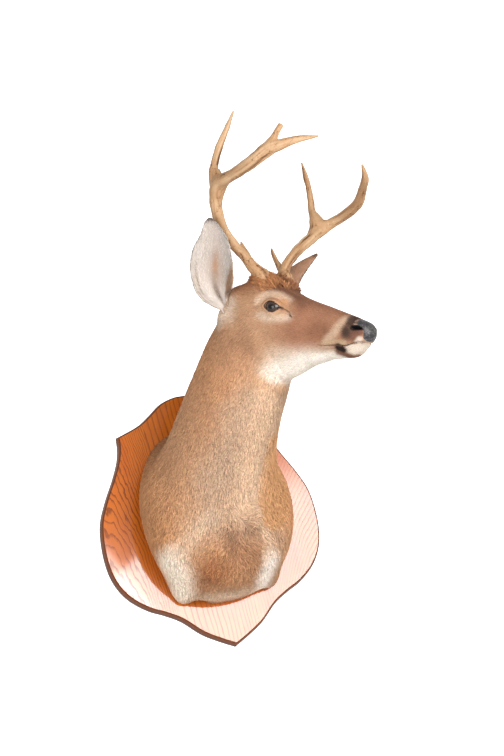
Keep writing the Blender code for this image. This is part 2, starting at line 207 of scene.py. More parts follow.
def distance_to_path(
    points: Array, path: Sequence[Triple], scale: Any = 1.0
) -> tuple[Array, Array]:
    """How far points lie from a bent path, and how far along it their nearest place is.

    Args:
        points: an array of points in metres, coordinates last.
        path: the path's corners in millimetres.
        scale: the length that counts as 1, along each axis.

    Returns:
        The distances, and the places along the path from 0 to 1.
    """
    corners = np.asarray(path, float) * MM / scale
    points = points / scale
    best = np.full(points.shape[:-1], np.inf)
    place = np.zeros(points.shape[:-1])
    for k, (a, b) in enumerate(zip(corners[:-1], corners[1:])):
        run = b - a
        t = np.clip((points - a) @ run / (run @ run), 0.0, 1.0)
        gap = np.linalg.norm(points - a - t[..., None] * run, axis=-1)
        nearer = gap < best
        best = np.where(nearer, gap, best)
        place = np.where(nearer, (k + t) / (len(corners) - 1), place)
    return best, place


class Noise:
    """Smooth random variation in space, the same at each run."""

    SIZE = 32

    def __init__(self, seed: int) -> None:
        """Fill the lattice from a seed."""
        self.table = np.random.default_rng(seed).uniform(-1.0, 1.0, (self.SIZE,) * 3)

    def at(self, points: Array, scale: float) -> Array:
        """Variation in space.

        Args:
            points: where it is read.
            scale: size of its features in metres.

        Returns:
            A number from -1 to 1 for each point.
        """
        p = np.asarray(points, float) / scale
        cell = np.floor(p).astype(int)
        t = p - cell
        t = t * t * (3.0 - 2.0 * t)
        out = np.zeros(p.shape[:-1])
        for corner in range(8):
            step = np.array([(corner >> k) & 1 for k in range(3)])
            index = (cell + step) % self.SIZE
            weight = np.prod(np.where(step, t, 1.0 - t), axis=-1)
            out += weight * self.table[index[..., 0], index[..., 1], index[..., 2]]
        return out

    def fractal(self, points: Array, scale: float, octaves: int = 3) -> Array:
        """Sum of finer and finer variation."""
        total = sum(0.5**k * self.at(points + 7.3 * k, scale / 2.1**k) for k in range(octaves))
        return total / (2.0 - 0.5 ** (octaves - 1))


NOISE = Noise(11)


# --- meshes
def new_mesh(name: str, points: Array, loops: Array, sizes: Array) -> Mesh:
    """A smooth-shaded mesh from arrays.

    Args:
        name: the mesh's name.
        points: vertex positions.
        loops: vertex numbers of all faces in a row.
        sizes: how many corners each face has.

    Returns:
        The mesh.
    """
    mesh = bpy.data.meshes.new(name)
    mesh.vertices.add(len(points))
    mesh.vertices.foreach_set("co", np.asarray(points, np.float32).ravel())
    mesh.loops.add(len(loops))
    mesh.loops.foreach_set("vertex_index", np.asarray(loops, np.int32))
    mesh.polygons.add(len(sizes))
    starts = np.concatenate(([0], np.cumsum(sizes)[:-1])).astype(np.int32)
    mesh.polygons.foreach_set("loop_start", starts)
    mesh.update(calc_edges=True)
    mesh.shade_smooth()
    return mesh


def paint(mesh: Mesh, channel: Channel, values: Array, extra: Any = 1.0) -> None:
    """Write a colour, or three other numbers, at each vertex.

    Args:
        mesh: the mesh.
        channel: the attribute that is written.
        values: three numbers for each vertex, in any shape.
        extra: the fourth number, for each vertex or for all.
    """
    data = np.ones((len(mesh.vertices), 4), np.float32)
    data[:, :3] = np.reshape(values, (-1, 3))
    data[:, 3] = extra
    layer = mesh.attributes.new(channel.value, "FLOAT_COLOR", "POINT")
    layer.data.foreach_set("color", data.ravel())


def unwrap(mesh: Mesh, corners: Array) -> None:
    """Write the unwrap's place of every face corner."""
    layer = mesh.uv_layers.new(name=Channel.UNWRAP.value)
    layer.uv.foreach_set("vector", np.clip(corners, 0.0, 1.0).astype(np.float32).ravel())


def link(name: str, data: Any) -> bpy.types.Object:
    """Put a mesh, light or camera in the scene as an object."""
    thing = bpy.data.objects.new(name, data)
    bpy.context.scene.collection.objects.link(thing)
    return thing


def face_along(thing: bpy.types.Object, at: Triple, right: Array, up: Array, back: Array) -> None:
    """Put an object at a place and turn it.

    Args:
        thing: a lamp or camera.
        at: the place.
        right: direction of its own x axis.
        up: direction of its own y axis.
        back: direction of its own z axis, away from what it faces.
    """
    columns = np.stack((right, up, back), axis=1)
    thing.matrix_world = Matrix.Translation(at) @ Matrix(columns.tolist()).to_4x4()


def add_piece(
    name: str, mesh: Mesh, finish: Material, stands_for: Sequence[str] = ()
) -> bpy.types.Object:
    """Put a mesh in the scene as a piece of the mount.

    Args:
        name: the piece's name.
        mesh: its mesh.
        finish: its material.
        stands_for: the solids that it replaces.

    Returns:
        The piece.
    """
    piece = link(name, mesh)
    mesh.materials.append(finish)
    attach(piece, BODY)
    if stands_for:
        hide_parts(*stands_for)
    LOG.info("%s: %d faces", name, len(mesh.polygons))
    return piece


@dataclass
class Sheet:
    """A tube-like surface sampled on a grid, whose last column joins the first.

    Attributes:
        points: places of the grid, rows by columns.
        along, across: steps to the neighbours in the next row and column.
        normals: outward directions.
    """

    points: Array
    along: Array = field(init=False)
    across: Array = field(init=False)
    normals: Array = field(init=False)

    def __post_init__(self) -> None:
        """Work out tangents and normals from the points."""
        self.along = np.gradient(self.points, axis=0)
        self.across = 0.5 * (np.roll(self.points, -1, axis=1) - np.roll(self.points, 1, axis=1))
        self.normals = unit(np.cross(self.across, self.along))

    @property
    def shape(self) -> tuple[int, int]:
        """Rows and columns."""
        return self.points.shape[0], self.points.shape[1]

    def read(self, values: Array, i: Array, j: Array) -> Array:
        """Values of the grid between its points.

        Args:
            values: one value or vector for each point of the grid.
            i: fractional rows.
            j: fractional columns.

        Returns:
            A value or vector for each place.
        """
        rows, columns = self.shape
        i = np.clip(i, 0.0, rows - 1.001)
        i0, j0 = np.floor(i).astype(int), np.floor(j).astype(int)
        t, u = i - i0, j - j0
        j0, j1 = j0 % columns, (j0 + 1) % columns
        if values.ndim == 3:
            t, u = t[:, None], u[:, None]
        near = values[i0, j0] * (1 - u) + values[i0, j1] * u
        far = values[i0 + 1, j0] * (1 - u) + values[i0 + 1, j1] * u
        return near * (1 - t) + far * t

    def step(self, i: Array, j: Array, move: Array) -> tuple[Array, Array]:
        """Rows and columns that a move along the surface adds.

        Args:
            i: fractional rows.
            j: fractional columns.
            move: the moves in metres.

        Returns:
            The change of row and of column.
        """
        a = self.read(self.along, i, j)
        b = self.read(self.across, i, j)
        aa, ab, bb = (a * a).sum(1), (a * b).sum(1), (b * b).sum(1)
        am, bm = (a * move).sum(1), (b * move).sum(1)
        det = np.maximum(aa * bb - ab * ab, 1e-16)
        return (am * bb - bm * ab) / det, (bm * aa - am * ab) / det

    def cell_areas(self) -> Array:
        """Area of the surface round each grid point."""
        return np.linalg.norm(np.cross(self.along, self.across), axis=-1)

    def travel(self) -> Array:
        """Length walked from the first row, along the middle of all columns, from 0 to 1."""
        total = walk(self.points.mean(axis=1))
        return total / total[-1]

    def mesh(self, name: str, cap_ends: bool = True) -> Mesh:
        """The grid as a mesh with its unwrap.

        Args:
            name: the mesh's name.
            cap_ends: whether the first and the last row are closed with a face.

        Returns:
            The mesh.
        """
        rows, columns = self.shape
        here = np.arange(rows * columns).reshape(rows, columns)
        after = np.roll(here, -1, axis=1)
        loops = np.stack((here[:-1], after[:-1], after[1:], here[1:]), axis=-1).ravel()
        sizes = np.full(len(loops) // 4, 4)
        u, v = np.arange(columns + 1) / columns, self.travel()
        left, right, low, high = u[None, :-1], u[None, 1:], v[:-1, None], v[1:, None]
        uv = np.stack(np.broadcast_arrays(left, low, right, low, right, high, left, high), axis=-1)
        uv = uv.reshape(-1, 2)
        if cap_ends:
            first = np.arange(columns)[::-1]
            last = (rows - 1) * columns + np.arange(columns)
            loops = np.concatenate((loops, first, last))
            sizes = np.concatenate((sizes, (columns, columns)))
            uv = np.concatenate((uv, np.full((2 * columns, 2), 0.001)))
        mesh = new_mesh(name, self.points.reshape(-1, 3), loops, sizes)
        unwrap(mesh, uv)
        return mesh


# --- finishes
def math_node(operation: str, swapped: bool = False) -> Callable[..., Term]:
    """An operator of Term that adds a Math node.

    Args:
        operation: what the node does.
        swapped: whether the other value comes first, as in 1 - mask.

    Returns:
        The operator.
    """

    def join(term: Term, other: Any = 0.0) -> Term:
        """Add the node on the term and a term or number."""
        first, second = (other, term) if swapped else (term, other)
        return term.tree.node("ShaderNodeMath", {"operation": operation}, {0: first, 1: second})

    return join


class Term:
    """One value, vector or colour in a node tree, for writing shader maths as expressions."""

    __add__ = __radd__ = math_node("ADD")
    __mul__ = __rmul__ = math_node("MULTIPLY")
    __sub__ = math_node("SUBTRACT")
    __rsub__ = math_node("SUBTRACT", swapped=True)
    __truediv__ = math_node("DIVIDE")
    __pow__ = math_node("POWER")
    __lt__ = math_node("LESS_THAN")
    __gt__ = math_node("GREATER_THAN")
    fraction = math_node("FRACT")
    root = math_node("SQRT")

    def __init__(self, tree: Tree, socket: bpy.types.NodeSocket) -> None:
        """Wrap a socket of a tree."""
        self.tree = tree
        self.socket = socket

    def eased(self, low: float, high: float) -> Term:
        """Ease from 0 at low to 1 at high."""
        settings = {"interpolation_type": "SMOOTHSTEP"}
        sockets = {"Value": self, "From Min": low, "From Max": high}
        return self.tree.node("ShaderNodeMapRange", settings, sockets)

    def stretched(self, scale: Triple) -> Term:
        """A vector multiplied axis by axis."""
        return self.tree.node("ShaderNodeVectorMath", {"operation": "MULTIPLY"}, {0: self, 1: scale})

    def parts(self) -> tuple[Term, Term, Term]:
        """The three numbers of a vector."""
        first = self.tree.node("ShaderNodeSeparateXYZ", {}, {"Vector": self})
        outputs = first.socket.node.outputs
        return tuple(Term(self.tree, outputs[k]) for k in range(3))

    def times(self, other: Any) -> Term:
        """A colour multiplied by another."""
        return self.mixed(other, 1.0, "MULTIPLY")

    def grey(self) -> Term:
        """A number as a colour with three equal parts."""
        return self.tree.node("ShaderNodeCombineColor", {}, {0: self, 1: self, 2: self})

    def mixed(self, other: Any, share: Any, how: str = "MIX") -> Term:
        """A colour mixed with another by a share."""
        settings = {"data_type": "RGBA", "blend_type": how}
        return self.tree.node("ShaderNodeMix", settings, {0: share, 6: self, 7: other}, output=2)


class Tree:
    """A material's node tree round its Principled shader."""

    def __init__(self, name: str) -> None:
        """Make an empty material of that name."""
        self.material = bpy.data.materials.new(name)
        self.material.use_nodes = True
        self.nodes = self.material.node_tree.nodes
        self.links = self.material.node_tree.links
        self.shader = self.nodes["Principled BSDF"]

    def feed(self, socket: bpy.types.NodeSocket, value: Any) -> None:
        """Link a term to a socket, or set the socket's own value."""
        if isinstance(value, Term):
            self.links.new(value.socket, socket)
        elif isinstance(value, tuple) and socket.type == "RGBA":
            socket.default_value = (*value, 1.0)
        else:
            socket.default_value = value

    def node(self, kind: str, settings: dict, sockets: dict, output: Any = 0) -> Term:
        """Add a node.

        Args:
            kind: the node's type.
            settings: what is set first, with a colour ramp's stops under "stops".
            sockets: values or terms for its inputs, by name or number.
            output: name or number of the output to hand back.

        Returns:
            The output as a term.
        """
        node = self.nodes.new(kind)
        for key, value in settings.items():
            if key == "stops":
                self._set_stops(node.color_ramp, value)
            else:
                setattr(node, key, value)
        for key, value in sockets.items():
            self.feed(node.inputs[key], value)
        return Term(self, node.outputs[output])

    @staticmethod
    def _set_stops(ramp: bpy.types.ColorRamp, stops: Sequence[tuple[float, Triple]]) -> None:
        """Give a ramp its stops."""
        while len(ramp.elements) < len(stops):
            ramp.elements.new(0.5)
        for element, (place, tone) in zip(ramp.elements, stops):
            element.position = place
            element.color = (*tone, 1.0)

    def ramp(self, share: Term, stops: Sequence[tuple[float, Triple]]) -> Term:
        """A colour read from stops by a share from 0 to 1."""
        return self.node("ShaderNodeValToRGB", {"stops": stops}, {"Fac": share})

    def noise(self, vector: Term, scale: float, detail: float = 2.0, rough: float = 0.5) -> Term:
        """Noise from 0 to 1."""
        sockets = {"Vector": vector, "Scale": scale, "Detail": detail, "Roughness": rough}
        return self.node("ShaderNodeTexNoise", {}, sockets)

    def attribute(self, channel: Channel, output: str = "Color") -> Term:
        """What a mesh carries in a channel."""
        return self.node("ShaderNodeAttribute", {"attribute_name": channel.value}, {}, output)

    def place(self) -> Term:
        """The place on the object, in metres."""
        return self.node("ShaderNodeTexCoord", {}, {}, "Object")

    def relief(self, height: Term, distance: float, strength: float = 1.0) -> Term:
        """A normal from a height."""
        sockets = {"Strength": strength, "Distance": distance, "Height": height}
        return self.node("ShaderNodeBump", {}, sockets)

    def finish(self, **sockets: Any) -> None:
        """Feed the shader's sockets, named with _ for spaces."""
        for name, value in sockets.items():
            self.feed(self.shader.inputs[name.replace("_", " ").title().replace("Ior", "IOR")], value)


class Finish:
    """A material: what it is called and how its tree is fed."""

    name: str

    def dress(self, t: Tree) -> None:
        """Feed the shader of a new tree; each finish does this in its own way.

        Args:
            t: the tree.
        """
        raise NotImplementedError

    def make(self) -> Material:
        """Build the material."""
        tree = Tree(self.name)
        self.dress(tree)
        return tree.material


@dataclass(frozen=True)
class PeltFinish(Finish):
    """Skin with very short hair drawn as fine streaks along the lie of the coat."""

    name: str = "coat_skin"
    depth: float = 1.12
    streaks: float = 0.34
    relief: float = 0.9 * MM

    def dress(self, t: Tree) -> None:
        """Feed the shader."""
        tone = t.attribute(Channel.TONE)
        lie = t.attribute(Channel.SHAPE, "Vector")
        fine = t.noise(lie.stretched((1.0, 0.16, 1.0)), 900.0, 2.0, 0.6)
        broad = t.noise(lie.stretched((1.0, 0.25, 1.0)), 220.0, 2.0)
        shade = self.depth * (1.0 - self.streaks * 0.5 + self.streaks * (0.65 * fine + 0.35 * broad))
        t.finish(
            base_color=tone.times(shade.grey()),
            roughness=0.62 + 0.3 * fine,
            specular_ior_level=0.15,
            normal=t.relief(fine + 0.5 * broad, self.relief),
        )


@dataclass(frozen=True)
class HairFinish(Finish):
    """Tufts of deer hair, darker at the root and paler to the tip as painted shade deep in the coat."""

    name: str = "coat_hair"
    root: float = 0.98
    tip: float = 1.22

    def dress(self, t: Tree) -> None:
        """Feed the shader."""
        tone = t.attribute(Channel.TONE)
        along = t.attribute(Channel.TONE, "Alpha")
        speckle = t.noise(t.place(), 700.0, 1.0)
        # painted shade: darker towards the root, deep in the coat, paler towards the tip
        shade = (self.root + (self.tip - self.root) * along) * (0.92 + 0.16 * speckle)
        t.finish(
            base_color=tone.times(shade.grey()),
            roughness=0.55 + 0.2 * speckle,
            specular_ior_level=0.12,
        )


@dataclass(frozen=True)
class NosePadFinish(Finish):
    """Black pebbled nose leather, greyer on its pebbles, with a moist sheen."""

    name: str = "nose_leather"
    dark: Triple = (0.008, 0.007, 0.008)
    middle: Triple = (0.036, 0.032, 0.033)
    light: Triple = (0.11, 0.1, 0.098)

    def dress(self, t: Tree) -> None:
        """Feed the shader."""
        place = t.place()
        pebble = t.node("ShaderNodeTexVoronoi", {"feature": "F1"}, {"Vector": place, "Scale": 480.0})
        patchy = t.noise(place, 150.0, 3.0, 0.6)
        level = patchy + 0.3 * pebble
        colour = t.ramp(level, ((0.42, self.dark), (0.66, self.middle), (0.9, self.light)))
        t.finish(
            base_color=colour,
            roughness=0.4 + 0.3 * patchy,
            specular_ior_level=0.3,
            coat_weight=0.22,
            coat_roughness=0.16,
            normal=t.relief(1.2 * patchy - 0.8 * pebble, 0.9 * MM, 0.9),
        )


@dataclass(frozen=True)
class EyeFinish(Finish):
    """Dark brown glass eye with a wide pupil, drawn from the direction off the gaze."""

    name: str = "eye_glass"
    iris: Triple = (0.06, 0.034, 0.02)
    ring: Triple = (0.016, 0.01, 0.008)
    iris_reach: float = 0.74

    def dress(self, t: Tree) -> None:
        """Feed the shader."""
        look = t.attribute(Channel.SHAPE, "Vector")
        x, y, _ = look.parts()
        reach = (x * x + y * y).root()
        pupil = ((x * 0.62) ** 2.0 + (y * 1.05) ** 2.0).root().eased(0.24, 0.29)
        threads = t.noise(look.stretched((1.0, 1.0, 0.2)), 26.0, 3.0)
        iris = t.ramp(threads, ((0.3, self.ring), (0.75, self.iris)))
        rim = reach.eased(self.iris_reach - 0.16, self.iris_reach)
        colour = iris.mixed((0.0025, 0.0022, 0.0025), 1.0 - pupil).mixed(self.ring, rim)
        t.finish(
            base_color=colour,
            roughness=0.2 + 0.1 * rim,
            specular_ior_level=0.15,
            coat_weight=1.0,
            coat_roughness=0.015,
            coat_ior=1.33,
        )


@dataclass(frozen=True)
class LidFinish(Finish):
    """Dark bare skin of the lids' edges."""

    name: str = "lid_skin"

    def dress(self, t: Tree) -> None:
        """Feed the shader."""
        grain = t.noise(t.place(), 900.0, 3.0)
        colour = t.ramp(grain, ((0.3, (0.014, 0.009, 0.007)), (0.8, (0.06, 0.036, 0.026))))
        t.finish(base_color=colour, roughness=0.35 + 0.2 * grain, normal=t.relief(grain, 0.2 * MM))


@dataclass(frozen=True)
class AntlerFinish(Finish):
    """Golden tan antler with stained grooves, paler worn ridges and tips."""

    name: str = "antler"
    groove: Triple = (0.11, 0.046, 0.018)
    bone: Triple = (0.385, 0.222, 0.11)
    ridge: Triple = (0.49, 0.325, 0.19)

    def dress(self, t: Tree) -> None:
        """Feed the shader."""
        shape = t.attribute(Channel.SHAPE, "Vector")
        height, along, _ = shape.parts()
        place = t.place()
        stain = t.noise(place, 34.0, 4.0, 0.6)
        speck = t.noise(place, 420.0, 3.0, 0.65)
        coil = t.noise(place.stretched((1.0, 1.0, 0.7)), 75.0, 2.0, 0.6) - 0.5
        veins = (1.0 - (coil * coil * 2500.0).eased(0.0, 1.0)) * stain.eased(0.42, 0.62)
        level = height * 0.6 + stain * 0.34 + speck * 0.38 + along * 0.1 - 0.14 - 0.32 * veins
        tone = t.ramp(level, ((0.26, self.groove), (0.52, self.bone), (0.86, self.ridge)))
        colour = tone.times(t.attribute(Channel.TONE))
        fine = t.noise(place, 900.0, 3.0)
        t.finish(
            base_color=colour,
            roughness=0.45 + 0.26 * stain,
            specular_ior_level=0.35,
            normal=t.relief(fine + 0.6 * speck, 0.25 * MM, 0.8),
        )


@dataclass(frozen=True)
class OakFinish(Finish):
    """Varnished oak glued up from three planks, with arched and straight grain."""

    name: str = "varnished_oak"
    seams: tuple[float, float] = (-0.1, 0.094)
    hearts: Triple = (-0.215, -0.26, 0.3)
    rise: Triple = (0.17, 0.03, 0.5)
    spread: Triple = (8.0, 1.5, 3.4)
    ring_width: float = 6.5 * MM
    pale: Triple = (0.53, 0.14, 0.01)
    gold: Triple = (0.41, 0.08, 0.005)
    dark: Triple = (0.2, 0.046, 0.006)
    # tones of the dark edge: partly stain, partly painted shade on the panel's side
    edge: Triple = (0.06, 0.018, 0.008)
    edge_mid: Triple = (0.19, 0.062, 0.024)

    def dress(self, t: Tree) -> None:
        """Feed the shader."""
        place = t.place()
        x, _, z = place.parts()
        left, right = x < self.seams[0], x > self.seams[1]
        middle = 1.0 - left - right
        heart, rise, spread = (
            left * values[0] + middle * values[1] + right * values[2]
            for values in (self.hearts, self.rise, self.spread)
        )
        wander = t.noise(place.stretched((1.0, 1.0, 0.3)), 14.0, 2.0, 0.55) - 0.5
        jagged = t.noise(place.stretched((1.0, 1.0, 0.45)), 75.0, 2.0, 0.6) - 0.5
        off = x - heart
        reach = off * off * spread + z * rise + (0.016 + 0.018 * left) * wander
        reach = reach + (0.002 + 0.007 * left) * jagged
        ring = (reach / self.ring_width).fraction()
        late = ring.eased(0.5, 0.95) * (1.0 - ring.eased(0.95, 1.0))
        strength = 0.35 + 1.3 * t.noise(place.stretched((1.0, 1.0, 0.2)), 30.0, 1.0)
        fibre = t.noise(place.stretched((1.0, 1.0, 0.035)), 1100.0, 2.0, 0.6)
        pores = t.noise(place.stretched((1.0, 1.0, 0.05)), 620.0, 1.0).eased(0.6, 0.7)
        drift = t.noise(place.stretched((1.0, 1.0, 0.3)), 22.0, 2.0)
        body = t.ramp(drift * 0.7 + fibre * 0.3, ((0.3, self.gold), (0.7, self.pale)))
        lines = late * strength * (0.6 + 0.25 * left) + pores * (0.2 + 0.35 * late)
        wood = body.mixed(self.dark, lines.eased(0.0, 1.0))
        worn = 1.0 - 0.72 * (z - 0.1 * x).eased(-0.02, 0.09)
        # the edge's dark band: partly its own stain, partly painted shade on the panel's side
        border = t.attribute(Channel.TONE, "Alpha")
        stain = t.ramp(border, ((0.5, self.edge_mid), (0.95, self.edge)))
        colour = wood.mixed(stain, border.eased(0.0, 0.3))
        t.finish(
            base_color=colour,
            roughness=0.34 + 0.2 * fibre,
            specular_ior_level=0.12,
            coat_weight=(1.0 - 0.97 * border.eased(0.0, 0.3)) * (1.0 - 0.35 * lines.eased(0.0, 1.0)) * worn,
            coat_roughness=0.06,
            coat_ior=1.66,
            normal=t.relief(fibre - 0.6 * pores, 0.25 * MM, 0.25),
        )


@dataclass(frozen=True)
class FloorFinish(Finish):
    """Matt pale floor."""

    name: str = "pale_floor"

    def dress(self, t: Tree) -> None:
        """Feed the shader."""
        cloud = t.noise(t.place(), 3.0, 3.0)
        colour = t.ramp(cloud, ((0.3, (0.8, 0.79, 0.77)), (0.7, (0.86, 0.85, 0.84))))
        t.finish(base_color=colour, roughness=0.7 + 0.1 * cloud)


@dataclass(frozen=True)
class BackdropFinish(Finish):
    """Evenly lit white."""

    name: str = "white_backdrop"

    def dress(self, t: Tree) -> None:
        """Feed the shader."""
        cloud = t.noise(t.place(), 0.6, 1.0)
        colour = t.ramp(cloud, ((0.3, (1.0, 1.0, 1.0)), (0.7, (1.0, 1.0, 0.995))))
        t.finish(base_color=colour, roughness=0.9, emission_color=colour, emission_strength=1.0)


# --- head frame
@dataclass(frozen=True)
class HeadFrame:
    """The head's own frame: forward to the nose, out to the deer's left, and up.

    Attributes:
        yaw: heading of the nose away from straight off the wall, in degrees.
        pitch: climb of the forward axis, in degrees.
        roll: tilt round the forward axis, in degrees.
        eye_from_origin: where the left eye's centre lies.
    """

    yaw: float = 33.9
    pitch: float = -18.75
    roll: float = 0.5
    eye_from_origin: Triple = (0.0005, 0.045, 0.0005)

    def axes(self) -> Array:
        """Forward, left and up as columns."""
        y, p, q = (math.radians(a) for a in (self.yaw, self.pitch, self.roll))
        forward = np.array((math.sin(y) * math.cos(p), -math.cos(y) * math.cos(p), math.sin(p)))
        left = np.array((math.cos(y), math.sin(y), 0.0))
        up = np.cross(forward, left)
        rolled_left = math.cos(q) * left + math.sin(q) * up
        rolled_up = -math.sin(q) * left + math.cos(q) * up
        return np.stack((forward, rolled_left, rolled_up), axis=1)

    def origin(self) -> Array:
        """The point midway between the eyes, from the boxes of the two eyes."""
        corners = [np.array(corner) for eye in ("eye_left", "eye_right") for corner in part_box(eye)]
        shift = np.array((self.eye_from_origin[0], 0.0, self.eye_from_origin[2]))
        return np.mean(corners, axis=0) - self.axes() @ shift

    def to_world(self, places: Any) -> Array:
        """World places of points stated in this frame."""
        return self.origin() + np.asarray(places, float) @ self.axes().T

    def from_world(self, places: Array) -> Array:
        """Points in this frame of world places."""
        return (places - self.origin()) @ self.axes()


HEAD = HeadFrame()


# --- flesh
@dataclass(frozen=True)
class Station:
    """A section of the body: its top and bottom, the way it faces and how full it is, in millimetres."""

    top: Triple
    bottom: Triple
    yaw: float
    widest: float
    half_width: float
    round_top: float
    round_bottom: float

    def row(self) -> tuple[float, ...]:
        """All numbers in a row, in metres."""
        ends = (length * MM for length in (*self.top, *self.bottom))
        return (*ends, self.yaw, self.widest, self.half_width * MM, self.round_top, self.round_bottom)


def head_station(top: tuple, bottom: tuple, *shape: float) -> Station:
    """A station of the head.

    Args:
        top: its top as (forward, up) on the head's middle plane, in millimetres.
        bottom: its bottom, in the same way.
        shape: its other numbers from the widest place on.

    Returns:
        The station.
    """
    ends = [tuple(HEAD.to_world((forward * MM, 0.0, up * MM)) / MM) for forward, up in (top, bottom)]
    return Station(ends[0], ends[1], HEAD.yaw, *shape)


@dataclass(frozen=True)
class Swell:
    """A smooth swelling of the flesh round a point, in millimetres, and the share of it that is skin."""

    at: tuple[float, ...]
    reach: float
    height: float
    skin_share: float = 1.0

    @classmethod
    def on_head(cls, place: Triple, *sizes: float) -> Swell:
        """A swelling at a place in the head's frame."""
        return cls(tuple(HEAD.to_world(np.array(place) * MM) / MM), *sizes)


# Swells of the head in its own frame: forward, out, up, reach and height in millimetres, and the
# share of the swell that is skin.
HEAD_SWELLS = (
    (2, 50, 28, 17, 4.5, 1.0),
    (32, 46, -12, 16, -3, 1.0),
    (-20, 52, -68, 34, 3.5, 1.0),
    (-44, 34, 44, 26, 32, 0.62),
    (-91, 51, 31, 27, 30, 0.9),
    (-124, 56, -8, 22, 17, 1.0),
    (-106, 60, 22, 18, 16, 1.0),
    (179, 20, -44, 11, 2, 1.0),
)
# Swells on both sides of the body: x, y, z, reach and height in millimetres.
SIDE_SWELLS = (
    (101, -30, -158, 36, 21),
    (64, -30, -174, 18, -14),
    (66, -120, -150, 22, -6),
    (130, -60, 10, 70, 4),
)
# Places of the furrow between the left shoulder and the neck, in millimetres.
FURROW = ((82, -262, 72), (76, -238, 40), (64, -226, 10), (50, -217, -18))


